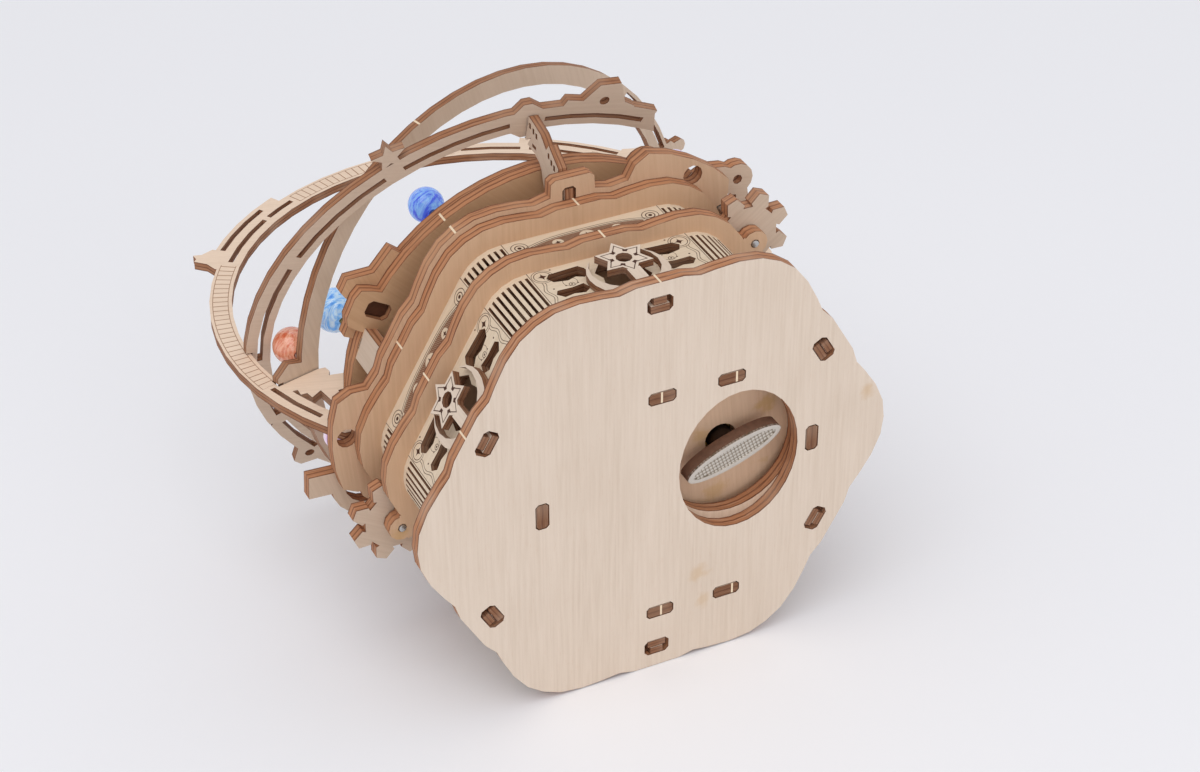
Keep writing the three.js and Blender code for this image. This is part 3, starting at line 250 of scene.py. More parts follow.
def wall_place_group():
    """The same for a wall bent round six corners."""
    s, given, out = group("wall_place",
                          [("Core", FLOAT), ("Half", FLOAT), ("Inner", FLOAT), ("Sheet", FLOAT)],
                          [("Along", FLOAT), ("Across", FLOAT), ("Depth", FLOAT), ("Face", FLOAT),
                           ("Side", FLOAT), ("Height", FLOAT), ("Out", FLOAT)])
    here = s.add("ShaderNodeTexCoord")
    x, y, z = s.separate(here.outputs["Object"])
    nx, ny = s.separate(here.outputs["Normal"])[:2]
    sector = s.math("FLOOR", s.math("DIVIDE", s.math("ARCTAN2", y, x), math.pi / 3))
    angle = s.math("ADD", s.math("MULTIPLY", sector, math.pi / 3), math.pi / 6)
    cos, sin = s.math("COSINE", angle), s.math("SINE", angle)

    def turned(a, b):
        outward = s.math("ADD", s.math("MULTIPLY", a, cos), s.math("MULTIPLY", b, sin))
        along = s.math("SUBTRACT", s.math("MULTIPLY", b, cos), s.math("MULTIPLY", a, sin))
        return outward, along
    u, t = turned(x, y)
    nu, nt = turned(nx, ny)
    kept = s.math("MAXIMUM", s.math("MINIMUM", t, given["Half"]), s.math("MULTIPLY", given["Half"], -1.0))
    du, dt = s.math("SUBTRACT", u, given["Core"]), s.math("SUBTRACT", t, kept)
    away = s.vector("LENGTH", s.combine(du, dt, 0.0))
    lean = s.math("DIVIDE", s.math("ADD", s.math("MULTIPLY", du, nu), s.math("MULTIPLY", dt, nt)), away)
    s.put(out["Along"], s.math("ADD", t, s.math("MULTIPLY", sector, 0.07)))
    s.put(out["Across"], z)
    s.put(out["Depth"], s.math("DIVIDE", s.math("SUBTRACT", away, given["Inner"]), given["Sheet"]))
    s.put(out["Face"], s.range(s.math("ABSOLUTE", lean), 0.6, 0.8))
    s.put(out["Side"], s.math("MULTIPLY", t, 1000.0))
    s.put(out["Height"], s.math("MULTIPLY", z, 1000.0))
    s.put(out["Out"], s.math("GREATER_THAN", nu, 0.7))


def ply_look_group():
    """Raw birch on the faces, browned layers on every laser-cut edge."""
    s, given, out = group(
        "ply_look",
        [("Along", FLOAT), ("Across", FLOAT), ("Depth", FLOAT), ("Face", FLOAT), ("Seed", FLOAT),
         ("Pale", COLOR), ("Tan", COLOR), ("Brown", COLOR), ("Burn", COLOR)],
        [("Color", COLOR), ("Roughness", FLOAT), ("Height", FLOAT)])
    along, across, depth, seed = given["Along"], given["Across"], given["Depth"], given["Seed"]

    def streaks(per_along, per_across, detail, third=seed, **more):
        """Noise with so many features in a metre along the grain and across it."""
        place = s.combine(s.math("MULTIPLY", along, per_along), s.math("MULTIPLY", across, per_across), third)
        return s.noise(place, detail=detail, **more)
    fibre, pores = streaks(55.0, 1500.0, 4), streaks(420.0, 5200.0, 2)
    bands, cloud = streaks(14.0, 140.0, 2), streaks(28.0, 34.0, 2)
    face = s.mix(s.range(fibre, 0.35, 0.68, 0.1, 0.7), given["Pale"], given["Tan"])
    face = s.mix(s.range(bands, 0.35, 0.7, 0.0, 0.55), face, given["Pale"])
    face = s.mix(s.range(cloud, 0.5, 0.78, 0.0, 0.4), face, given["Tan"])
    face = s.mix(s.range(pores, 0.60, 0.72, 0.0, 0.14), face, given["Brown"])
    # through the thickness: two browned veneers, a dark glue line between them and scorched outer corners
    wobble = streaks(160.0, 160.0, 2)
    level = s.math("ADD", depth, s.range(wobble, 0.3, 0.7, -0.035, 0.035))
    layer = s.ramp(level, [(0.0, (0.9,) * 3), (0.07, (0.75,) * 3), (0.13, (0.1,) * 3), (0.42, (0.05,) * 3),
                           (0.47, (0.7,) * 3), (0.54, (0.7,) * 3), (0.59, (0.05,) * 3), (0.86, (0.1,) * 3),
                           (0.93, (0.75,) * 3), (1.0, (0.9,) * 3)])
    char = streaks(110.0, 110.0, 4, s.math("MULTIPLY", depth, 9.0), rough=0.7)
    patch = streaks(90.0, 90.0, 1)
    edge = s.mix(layer, given["Brown"], given["Burn"])
    edge = s.mix(s.range(char, 0.5, 0.72, 0.0, 0.65), edge, given["Burn"])
    edge = s.mix(s.range(char, 0.28, 0.45, 0.5, 0.0), edge, given["Tan"])
    edge = s.mix(s.range(patch, 0.48, 0.78, 0.0, 0.3), edge, given["Tan"])
    s.put(out["Color"], s.mix(given["Face"], edge, face))
    s.put(out["Roughness"], s.range(fibre, 0.3, 0.7, 0.62, 0.8))
    relief = s.math("ADD", s.math("MULTIPLY", fibre, 0.6), s.math("MULTIPLY", pores, 0.4))
    scar = s.math("ADD", s.math("MULTIPLY", char, 0.7), s.math("MULTIPLY", layer, -0.8))
    s.put(out["Height"], s.mix_values(given["Face"], scar, relief))


PALE, TAN = rgb(225, 208, 191), rgb(208, 189, 170)
BROWN, BURN = rgb(192, 134, 96), rgb(92, 52, 35)
LINE, FIELD = rgb(74, 46, 34), rgb(122, 80, 56)
FAINT = rgb(158, 114, 84)
NICK, STAIN_AND_PATCH = rgb(238, 216, 186), rgb(200, 160, 104)
PICTURE = (1200, 772)                      # pixels
FOCAL = LENS / SENSOR * PICTURE[0]         # pixels
# where the picture shows pale nicks across the cut edges, in its pixels
NICKS = [(658, 279), (461, 433), (577, 203), (604, 236), (453, 230), (446, 220), (400, 346),
         (427, 378), (418, 123), (737, 376), (732, 587), (662, 398), (661, 611)]
NICK_HALF = 0.22                           # half the width of a nick
# the model's edges lie a few pixels off the picture's: where a nick is looked for round its place
SEARCH = [(reach * math.cos(turn), reach * math.sin(turn))
          for reach in (0, 1.5, 3, 4.5) for turn in (0, 1.57, 3.14, 4.71)]
# stains on the base plate and the second plate, and browner patches on the recess floor, given as pixels of
# the picture, reach in mm and strength
STAINS_AND_BROWN_PATCHES = {"base_plate": [(699, 572, 2.8, 0.35), (703, 600, 2.4, 0.3), (868, 390, 2.4, 0.4)],
          "recess_floor": [(766, 402, 3.4, 0.7), (700, 436, 3.0, 0.6), (774, 474, 4.4, 0.7),
                           (715, 492, 4.0, 0.5)],
          "second_plate": [(399, 537, 3.0, 0.5)]}


class Pen:
    """Draws burnt lines in a plane: x and y are sockets in mm, and each mark is a mask from 0 to 1."""

    def __init__(self, shader, x, y):
        self.s, self.x, self.y = shader, x, y

    def under(self, value, limit, soft=0.04):
        return self.s.range(value, limit - soft, limit + soft, 1.0, 0.0)

    def from_centre(self, x, y):
        dx = self.s.math("SUBTRACT", self.x, x)
        dy = self.s.math("SUBTRACT", self.y, y)
        return dx, dy, self.s.math("SQRT", self.s.math("ADD", self.s.math("MULTIPLY", dx, dx),
                                                       self.s.math("MULTIPLY", dy, dy)))

    def dot(self, x, y, radius):
        return self.under(self.from_centre(x, y)[2], radius)

    def circle(self, x, y, radius, width):
        off = self.s.math("ABSOLUTE", self.s.math("SUBTRACT", self.from_centre(x, y)[2], radius))
        return self.under(off, width / 2)

    def four_point_star(self, x, y, reach):
        dx, dy, _ = self.from_centre(x, y)
        roots = [self.s.math("SQRT", self.s.math("ABSOLUTE", v)) for v in (dx, dy)]
        return self.under(self.s.math("ADD", *roots), math.sqrt(reach), 0.03)

    def level(self, value, at, width):
        return self.under(self.s.math("ABSOLUTE", self.s.math("SUBTRACT", value, at)), width / 2)

    def within(self, value, low, high):
        above, below = self.s.math("GREATER_THAN", value, low), self.s.math("LESS_THAN", value, high)
        return self.s.math("MULTIPLY", above, below)

    def all_of(self, marks):
        total = marks[0]
        for mark in marks[1:]:
            total = self.s.math("MAXIMUM", total, mark)
        return total


def ring_place_group():
    """Millimetres from the centre of a ring, and degrees round it, seen square to its plane."""
    s, given, out = group("ring_place",
                          [("Centre", VECTOR), ("Right", VECTOR), ("Up", VECTOR), ("Facing", VECTOR)],
                          [("Radius", FLOAT), ("Degrees", FLOAT), ("Face", FLOAT)])
    here = s.add("ShaderNodeTexCoord")
    away = s.vector("SUBTRACT", here.outputs["Object"], given["Centre"])
    x = s.math("MULTIPLY", s.vector("DOT_PRODUCT", away, given["Right"]), 1000.0)
    y = s.math("MULTIPLY", s.vector("DOT_PRODUCT", away, given["Up"]), 1000.0)
    s.put(out["Radius"], s.vector("LENGTH", s.combine(x, y, 0.0)))
    s.put(out["Degrees"], s.math("DEGREES", s.math("ARCTAN2", y, x)))
    facing = s.vector("DOT_PRODUCT", here.outputs["Normal"], given["Facing"])
    s.put(out["Face"], s.math("GREATER_THAN", facing, 0.7))


def scale_marks_group():
    """A ladder scale burnt along a ring: two border lines with a rung at every step."""
    s, given, out = group("scale_marks", [("Radius", FLOAT), ("Degrees", FLOAT)], [("Mask", FLOAT)])
    pen = Pen(s, given["Radius"], given["Degrees"])
    step = s.math("DIVIDE", given["Degrees"], 1.7)
    rung = s.math("ABSOLUTE", s.math("SUBTRACT", s.math("FRACT", step), 0.5))
    rungs = s.math("MULTIPLY", pen.under(rung, 0.06, 0.025), pen.within(given["Radius"], 58.85, 62.1))
    borders = pen.all_of([pen.level(given["Radius"], 58.8, 0.14), pen.level(given["Radius"], 62.15, 0.14)])
    spans = pen.all_of([pen.within(given["Degrees"], low, high) for low, high in
                        ((-14.4, 33.6), (63.6, 86.4), (94.8, 104.4), (135.6, 160.8), (166.8, 192))])
    s.put(out["Mask"], s.math("MULTIPLY", spans, pen.all_of([rungs, borders])))


def lower_wall_marks_group():
    """What is burnt into one side of the lower wall, from its middle outward and up."""
    s, given, out = group("lower_wall_marks", [("Side", FLOAT), ("Height", FLOAT)], [("Mask", FLOAT)])
    away = s.math("ABSOLUTE", given["Side"])
    pen = Pen(s, away, given["Height"])
    wave = s.math("MULTIPLY", s.math("SINE", s.math("MULTIPLY", given["Height"], 1.25)), 0.38)
    border = s.math("SUBTRACT", away, wave)
    below = s.math("LESS_THAN", given["Height"], 19.3)
    s.put(out["Mask"], pen.all_of([
        pen.four_point_star(14.97, 21.4, 1.35), pen.circle(14.97, 21.4, 1.72, 0.16),
        pen.circle(14.97, 21.4, 2.2, 0.12), pen.dot(12.6, 23.1, 0.2), pen.dot(14.75, 16.5, 0.2),
        pen.dot(10.8, 16.6, 0.24), pen.circle(10.8, 16.6, 0.58, 0.14), pen.circle(10.8, 17.5, 1.45, 0.1),
        pen.dot(9.5, 16.6, 0.17), pen.dot(12.1, 16.6, 0.17), pen.level(away, 17.4, 0.14),
        s.math("MULTIPLY", below, pen.all_of([pen.level(border, 16.35, 0.14),
                                              pen.level(border, 15.75, 0.12)]))]))


def upper_wall_marks_group():
    """What is burnt into one side of the upper wall: a long lens with lozenges between two scrolls."""
    s, given, out = group("upper_wall_marks", [("Side", FLOAT), ("Height", FLOAT)],
                          [("Mask", FLOAT), ("Deep", FLOAT)])
    away = s.math("ABSOLUTE", given["Side"])
    up = s.math("ABSOLUTE", s.math("SUBTRACT", given["Height"], LENS_HEIGHT))
    pen = Pen(s, away, given["Height"])
    share = s.math("POWER", s.math("DIVIDE", away, 13.8), 3.0)
    half = s.math("MULTIPLY", s.math("MAXIMUM", s.math("SUBTRACT", 1.0, share), 0.0), 2.1)
    over = s.math("SUBTRACT", up, half)
    inside = s.math("LESS_THAN", away, 13.6)
    discs = pen.all_of([pen.dot(0, LENS_HEIGHT, 1.75), pen.dot(6.6, LENS_HEIGHT, 1.2)])
    slant = s.math("MULTIPLY", s.math("ADD", given["Side"], given["Height"]), 11.0)
    hatch = s.range(s.math("SINE", slant), -0.6, 0.6, 0.75, 1.0)
    field = s.math("MULTIPLY", pen.under(over, -0.25), s.math("LESS_THAN", away, 12.4))
    s.put(out["Deep"], s.math("MULTIPLY", s.math("MULTIPLY", field, hatch), s.math("SUBTRACT", 1.0, discs)))
    s.put(out["Mask"], pen.all_of([
        s.math("MULTIPLY", inside, pen.level(over, 0.0, 0.2)),
        s.math("MULTIPLY", inside, pen.level(over, 0.55, 0.14)),
        pen.four_point_star(0, LENS_HEIGHT, 1.5), pen.four_point_star(6.6, LENS_HEIGHT, 0.95),
        pen.dot(14.5, 33.2, 0.42), pen.circle(14.5, 33.2, 0.95, 0.22), pen.circle(14.5, 33.2, 1.75, 0.16),
        pen.four_point_star(15.0, 29.4, 1.1), pen.level(away, 17.3, 0.14)]))


def star_marks_group():
    """The line inside a six-pointed star's rim and the burnt corners beside its valleys."""
    s, given, out = group("star_marks", [("Side", FLOAT), ("Height", FLOAT)], [("Mask", FLOAT)])
    up = s.math("SUBTRACT", given["Height"], STAR_HEIGHT)
    radius = s.vector("LENGTH", s.combine(given["Side"], up, 0.0))
    angle = s.math("ARCTAN2", given["Side"], up)
    turn = s.math("ADD", s.math("DIVIDE", angle, math.pi / 3), 0.5)
    fold = s.math("ABSOLUTE", s.math("SUBTRACT", s.math("FRACT", turn), 0.5))
    fold = s.math("MULTIPLY", fold, math.pi / 3)
    x, y = (s.math("MULTIPLY", radius, s.math(kind, fold)) for kind in ("COSINE", "SINE"))
    inset = s.math("SUBTRACT", 3.07, s.math("ADD", s.math("MULTIPLY", x, 0.53), s.math("MULTIPLY", y, 0.848)))
    pen = Pen(s, x, y)
    corner = s.math("MULTIPLY", s.math("GREATER_THAN", fold, 0.34), pen.within(inset, 0.5, 1.3))
    drawn = pen.all_of([pen.level(inset, 0.66, 0.2), corner])
    s.put(out["Mask"], s.math("MULTIPLY", s.math("GREATER_THAN", radius, 2.2), drawn))


def new_material(name):
    material = bpy.data.materials.new(name)
    material.use_nodes = True
    shader = Shader(material.node_tree)
    return material, shader, material.node_tree.nodes["Principled BSDF"]


def add_bump(s, surface, height, strength, distance):
    node = s.add("ShaderNodeBump")
    node.inputs["Strength"].default_value = strength
    node.inputs["Distance"].default_value = distance * MM
    s.put(node.inputs["Height"], height)
    s.put(surface.inputs["Normal"], node.outputs["Normal"])


def finish_ply(s, surface, place, seed, pale, tan, marks=(), edge=1.0):
    """marks holds pairs of a mask and the colour burnt there; edge darkens the cut edges."""
    look = s.add("ShaderNodeGroup")
    look.node_tree = bpy.data.node_groups["ply_look"]
    for label in ("Along", "Across", "Depth", "Face"):
        s.put(look.inputs[label], place.outputs[label])
    s.put(look.inputs["Seed"], seed)
    brown = tuple(v * edge for v in BROWN)
    for label, colour in (("Pale", pale), ("Tan", tan), ("Brown", brown), ("Burn", BURN)):
        s.put(look.inputs[label], colour if isinstance(colour, bpy.types.NodeSocket) else (*colour, 1))
    colour, height = look.outputs["Color"], look.outputs["Height"]
    for mask, burnt in marks:
        colour = s.mix(mask, colour, (*burnt, 1))
        height = s.math("SUBTRACT", height, s.math("MULTIPLY", mask, 1.5))
    s.put(surface.inputs["Base Color"], colour)
    s.put(surface.inputs["Roughness"], look.outputs["Roughness"])
    add_bump(s, surface, height, 0.35, 0.08)
    surface.inputs["Specular IOR Level"].default_value = 0.25


def marks_from(s, group_name, side, height):
    """Puts an engraving group in a material and gives its outputs."""
    node = s.add("ShaderNodeGroup")
    node.node_tree = bpy.data.node_groups[group_name]
    s.put(node.inputs[0], side)
    s.put(node.inputs[1], height)
    return node.outputs


def star_marks(s, place):
    to_mm = [s.math("MULTIPLY", place.outputs[label], 1000.0) for label in ("Across", "Along")]
    mask = s.math("MULTIPLY", marks_from(s, "star_marks", *to_mm)["Mask"], place.outputs["Face"])
    return [(mask, LINE)]


def meridian_marks(s, place):
    """The scale burnt along one side of the upright ring; called as star_marks is, it needs no place."""
    ring = s.add("ShaderNodeGroup")
    ring.node_tree = bpy.data.node_groups["ring_place"]
    ring.inputs["Centre"].default_value = Vector((0, 0, RING_CENTRE)) * MM
    ring.inputs["Right"].default_value = (1, 0, 0)
    ring.inputs["Up"].default_value = (0, 0, 1)
    ring.inputs["Facing"].default_value = (0, 1, 0)
    scale = marks_from(s, "scale_marks", ring.outputs["Radius"], ring.outputs["Degrees"])
    return [(s.math("MULTIPLY", scale["Mask"], ring.outputs["Face"]), FAINT)]


def seen_at(x, y):
    """What the camera sees at a place of the picture, in its pixels."""
    ray = VIEW_AHEAD * FOCAL + VIEW_RIGHT * (x - PICTURE[0] / 2) + VIEW_UP * (PICTURE[1] / 2 - y)
    view = bpy.context.evaluated_depsgraph_get()
    hit, place, normal, _, obj, _ = bpy.context.scene.ray_cast(view, CAMERA_PLACE, ray.normalized())
    return (place, normal, obj.name) if hit else (None, None, "")


def seen_nicks(name, axis):
    """The nicks that show on the cut edges of one sheet."""
    found = []
    for x, y in NICKS:
        for dx, dy in SEARCH:
            place, normal, seen = seen_at(x + dx, y + dy)
            if seen == name and abs(normal.dot(axis)) < 0.3:    # on an edge, not on a face
                found.append(place)
                break
    return found


def nick_marks(s, place, axis, spots):
    """Pale break-off nicks across a cut edge, through the whole sheet."""
    here = s.add("ShaderNodeTexCoord").outputs["Object"]
    marks = []
    for spot in spots:
        away = s.vector("SUBTRACT", here, spot)
        through = s.vector("SCALE", axis, scale=s.vector("DOT_PRODUCT", away, axis))
        flat = s.vector("SUBTRACT", away, through)
        near = s.math("LESS_THAN", s.vector("LENGTH", flat), NICK_HALF * MM)
        marks.append((s.math("MULTIPLY", near, s.math("SUBTRACT", 1.0, place.outputs["Face"])), NICK))
    return marks


def stain_and_patch_marks(s, spots):
    """Soft yellow-brown marks on a face, each with its place, its reach in mm and its strength."""
    here = s.add("ShaderNodeTexCoord").outputs["Object"]
    ragged = s.noise(here, scale=420, detail=3)
    marks = []
    for spot, reach, strength in spots:
        far = s.math("DIVIDE", s.vector("LENGTH", s.vector("SUBTRACT", here, spot)), reach * MM)
        far = s.math("ADD", far, s.range(ragged, 0.3, 0.7, -0.35, 0.35))
        marks.append((s.range(far, 0.15, 1.0, strength, 0.0, smooth=True), STAIN_AND_PATCH))
    return marks


def sheet_material(name, axis, offset, grain, seed, painted_light_level=1.0, painted_warm_shade=0.0, sheet=PLY, marked=None, stains_and_patches=(),
                   edge=1.0):
    """Birch ply cut flat: axis is square to the sheet, offset its lower face in mm along that axis."""
    material, s, surface = new_material(name)
    place = s.add("ShaderNodeGroup")
    place.node_tree = bpy.data.node_groups["sheet_place"]
    axis = Vector(axis).normalized()
    grain = Vector(grain)
    grain = (grain - axis * grain.dot(axis)).normalized()
    place.inputs["Axis"].default_value = axis
    place.inputs["Offset"].default_value = offset * MM
    place.inputs["Grain"].default_value = grain
    place.inputs["Sheet"].default_value = sheet * MM

    # painted light and shade: the first factor darkens a whole piece below 1 and lightens it above 1, as the
    # light falling on it would; the warm factor browns it as light bounced among the wood in shade does
    def with_painted_shade(colour, green, blue):
        return tuple(v * painted_light_level * k for v, k in zip(colour, (1, 1 - green * painted_warm_shade, 1 - blue * painted_warm_shade)))
    pale, tan = with_painted_shade(PALE, 0.115, 0.21), with_painted_shade(TAN, 0.12, 0.22)
    if painted_warm_shade > 1:                            # painted shade: only the lower faces, which lie in shade, take the warm brown; the upper faces keep nearly the plain tones
        above = [(*(v * 0.96 for v in colour), 1) for colour in (PALE, TAN)]
        upper = place.outputs["Upper"]
        pale, tan = (s.mix(upper, (*colour, 1), unshaded) for colour, unshaded in zip((pale, tan), above))
    marks = marked(s, place) if marked else []
    marks += nick_marks(s, place, axis, seen_nicks(name.removeprefix("birch_"), axis))
    seen = [(seen_at(x, y)[0], reach, strength) for x, y, reach, strength in stains_and_patches]
    marks += stain_and_patch_marks(s, [spot for spot in seen if spot[0]])
    finish_ply(s, surface, place, seed, pale, tan, marks, edge)
    return material


def wall_material(name, apothem, seed, pattern):
    material, s, surface = new_material(name)
    flat = (apothem - WALL_BEND) * MM          # from the middle to the centre of a bend
    place = s.add("ShaderNodeGroup")
    place.node_tree = bpy.data.node_groups["wall_place"]
    place.inputs["Core"].default_value = flat
    place.inputs["Half"].default_value = flat * math.tan(math.pi / 6)
    place.inputs["Inner"].default_value = (WALL_BEND - RING_SHEET) * MM
    place.inputs["Sheet"].default_value = RING_SHEET * MM
    outer = s.math("MULTIPLY", place.outputs["Out"], place.outputs["Face"])
    drawn = marks_from(s, pattern, place.outputs["Side"], place.outputs["Height"])
    marks = [(s.math("MULTIPLY", drawn[label], outer), LINE if label == "Mask" else FIELD)
             for label in ("Deep", "Mask") if label in drawn.keys()]
    finish_ply(s, surface, place, seed, rgb(232, 214, 190), rgb(214, 191, 163), marks, 0.5)
    return material


def metal_material(name, colour, roughness):
    material, s, surface = new_material(name)
    here = s.add("ShaderNodeTexCoord")
    fine = s.noise(s.vector("SCALE", here.outputs["Object"], scale=600.0), detail=4)
    dull = (*(v * 0.82 for v in colour), 1)
    s.put(surface.inputs["Base Color"], s.mix(s.range(fine, 0.3, 0.7), dull, (*colour, 1)))
    s.put(surface.inputs["Roughness"], s.range(fine, 0.3, 0.7, roughness * 0.8, roughness * 1.3))
    surface.inputs["Metallic"].default_value = 1.0
    add_bump(s, surface, fine, 0.2, 0.03)
    return material


def knurled_material(name, colour):
    """Cast nickel with a fine square knurl in its sunk field."""
    material, s, surface = new_material(name)
    here = s.add("ShaderNodeTexCoord").outputs["Object"]
    waves = []
    for degrees in (KEY_TURN, KEY_TURN + 90):
        run = s.vector("DOT_PRODUCT", here, turned_axis(degrees))
        waves.append(s.math("ABSOLUTE", s.math("SINE", s.math("MULTIPLY", run, math.pi / (0.8 * MM)))))
    sunk = s.math("GREATER_THAN", s.separate(here)[2], (KEY_LOW + 0.1) * MM)
    stud = s.math("MULTIPLY", s.math("MULTIPLY", *waves), sunk)
    groove = s.math("MULTIPLY", s.range(s.math("MULTIPLY", *waves), 0.05, 0.45, 1.0, 0.0), sunk)
    worn = s.noise(here, scale=700, detail=4)
    bare = s.mix(s.range(worn, 0.3, 0.7), (*(v * 0.9 for v in colour), 1), (*colour, 1))
    s.put(surface.inputs["Base Color"], s.mix(groove, bare, (*rgb(140, 128, 112), 1)))
    s.put(surface.inputs["Roughness"], s.range(worn, 0.3, 0.7, 0.34, 0.5))
    surface.inputs["Metallic"].default_value = 0.7
    add_bump(s, surface, s.math("ADD", stud, s.math("MULTIPLY", worn, 0.1)), 0.9, 0.15)
    return material


def bead_material(name, deep, middle, light, seed):
    """Marbled acrylic: streaks of colour inside a clear, polished skin."""
    material, s, surface = new_material(name)
    here = s.add("ShaderNodeTexCoord")
    stretched = s.vector("MULTIPLY", here.outputs["Object"], (1, 0.4, 2.2))
    place = s.vector("ADD", stretched, (seed, seed * 0.7, seed * 1.3))
    swirl = s.noise(place, scale=210, detail=5, rough=0.62, distortion=1.4)
    vein = s.noise(place, scale=520, detail=4, rough=0.7, distortion=0.6)
    colour = s.ramp(swirl, [(0.28, deep), (0.42, middle), (0.54, light), (0.66, middle), (0.80, deep)])
    colour = s.mix(s.range(vein, 0.6, 0.74, 0.0, 0.45), colour, (*rgb(240, 243, 250), 1))
    colour = s.mix(s.range(vein, 0.30, 0.40, 0.45, 0.0), colour, (*deep, 1))
    s.put(surface.inputs["Base Color"], colour)
    # painted light: a faint glow in the bead's own colours stands in for the light shining through the
    # acrylic
    s.put(surface.inputs["Emission Color"], colour)
    surface.inputs["Emission Strength"].default_value = 0.16
    surface.inputs["Roughness"].default_value = 0.12
    surface.inputs["IOR"].default_value = 1.49
    surface.inputs["Transmission Weight"].default_value = 0.08
    surface.inputs["Coat Weight"].default_value = 0.6
    surface.inputs["Coat Roughness"].default_value = 0.05
    add_bump(s, surface, vein, 0.25, 0.1)
    return material


def plain_wood_material(name, colour):
    """Browned or scorched wood: one tone with a little unevenness."""
    material, s, surface = new_material(name)
    here = s.add("ShaderNodeTexCoord")
    grainy = s.noise(here.outputs["Object"], scale=900, detail=3)
    dark = tuple(v * 0.76 for v in colour)
    s.put(surface.inputs["Base Color"], s.mix(s.range(grainy, 0.3, 0.7), (*dark, 1), (*colour, 1)))
    surface.inputs["Roughness"].default_value = 0.8
    surface.inputs["Specular IOR Level"].default_value = 0.2
    return material


# ---------------------------------------------------------------- build
def deselect():
    for obj in bpy.context.scene.objects:
        obj.select_set(False)


def is_level(line):
    """Whether both ends of an edge are at one height."""
    return len({round(v.co.z, 7) for v in line.verts}) == 1


def dress(name, material):
    """Gives a CAD node its material."""
    obj = nodes[name]
    if not obj.data.materials:
        obj.data.materials.append(material)
    for slot in obj.material_slots:
        slot.material = material


def pick(obj, kind, test):
    """In edit mode, selects what passes the test and nothing else."""
    bpy.ops.mesh.select_mode(type={"verts": "VERT", "edges": "EDGE", "faces": "FACE"}[kind])
    bpy.ops.mesh.select_all(action="DESELECT")
    mesh = bmesh.from_edit_mesh(obj.data)
    for part in getattr(mesh, kind):
        if test(part):
            part.select_set(True)
    mesh.select_flush_mode()
    bmesh.update_edit_mesh(obj.data)


def finish_piece(obj, name, body, material, replaced=()):
    if obj.mode != "OBJECT":
        bpy.ops.object.mode_set(mode="OBJECT")
    deselect()
    obj.select_set(True)
    bpy.context.view_layer.objects.active = obj
    bpy.ops.object.transform_apply(location=True, rotation=True, scale=True)
    bpy.ops.object.shade_smooth_by_angle(angle=math.radians(32))
    obj.name = obj.data.name = name
    obj.data.materials.clear()
    obj.data.materials.append(material)
    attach(obj, body)
    if replaced:
        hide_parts(*replaced)


def bored_bead(name, body, centre, radius, bore, material):
    """A polished bead with a hole from pole to pole; the node of the same name is hidden."""
    deselect()
    rings = 2 * round(180 / math.degrees(math.asin(bore / radius)))
    bpy.ops.mesh.primitive_uv_sphere_add(segments=64, ring_count=rings, radius=radius * MM,
                                         location=Vector(centre) * MM)
    bead = bpy.context.object
    edge = radius * math.sin(2 * math.pi / rings) * MM + 1e-6
    bpy.ops.object.mode_set(mode="EDIT")
    pick(bead, "faces", lambda face: all(v.co.xy.length < edge for v in face.verts))
    bpy.ops.mesh.delete(type="FACE")
    pick(bead, "edges", lambda line: line.is_boundary)
    bpy.ops.mesh.bridge_edge_loops()
    bpy.ops.mesh.select_all(action="SELECT")
    bpy.ops.mesh.normals_make_consistent(inside=False)
    finish_piece(bead, name + "_marbled", body, material, (name,))


def rod(name, body, place, radius, low, high, material, replaced=(), chamfer=0.2, bore=0.0):
    """A turned pin, shaft or hub that stands upright, with chamfered ends and a bore where it has one."""
    deselect()
    x, y = place
    bpy.ops.mesh.primitive_cylinder_add(vertices=48, radius=radius * MM, depth=(high - low) * MM,
                                        location=Vector((x, y, (low + high) / 2)) * MM)
    pin = bpy.context.object
    bpy.ops.object.mode_set(mode="EDIT")
    pick(pin, "edges", is_level)
    bpy.ops.mesh.bevel(offset=chamfer * MM, segments=2)
    if bore:
        pick(pin, "faces", lambda face: abs(face.normal.z) > 0.99 and len(face.verts) > FLAT_END)
        bpy.ops.mesh.inset(thickness=(radius - chamfer - bore) * MM)
        bpy.ops.mesh.bridge_edge_loops()
    finish_piece(pin, name, body, material, replaced)


def bent_wire(name, body, degrees, knees, radius, material, replaced=()):
    """A wire in one upright plane: knees holds (distance out, height) in mm, each bend rounded."""
    deselect()
    bpy.ops.curve.primitive_bezier_curve_add(location=(0, 0, 0))
    wire = bpy.context.object
    spline = wire.data.splines[0]
    begin, far, near = 1.6, 2.4, 0.6           # from a knee to where its bend begins, and to its handles
    across = Vector(turned_axis(degrees))
    knees = [(across * out + Vector((0, 0, up))) * MM for out, up in knees]
    stops = [(knees[0], knees[0], knees[1])]
    for before, knee, after in zip(knees, knees[1:], knees[2:]):
        into, away = (before - knee).normalized(), (after - knee).normalized()
        stops.append((knee + into * begin * MM, knee + into * far * MM, knee + into * near * MM))
        stops.append((knee + away * begin * MM, knee + away * near * MM, knee + away * far * MM))
    stops.append((knees[-1], knees[-2], knees[-1]))
    spline.bezier_points.add(len(stops) - 2)
    for point, (place, left, right) in zip(spline.bezier_points, stops):
        point.handle_left_type = point.handle_right_type = "FREE"
        point.co = place
        handles = [place + (end - place) * (0.2 if (end - place).length > 3 * MM else 1)
                   for end in (left, right)]
        point.handle_left, point.handle_right = handles
    wire.data.dimensions = "3D"
    wire.data.bevel_depth = radius * MM
    wire.data.bevel_resolution = 5
    wire.data.use_fill_caps = True
    wire.select_set(True)
    bpy.context.view_layer.objects.active = wire
    bpy.ops.object.convert(target="MESH")
    finish_piece(bpy.context.object, name, body, material, replaced)


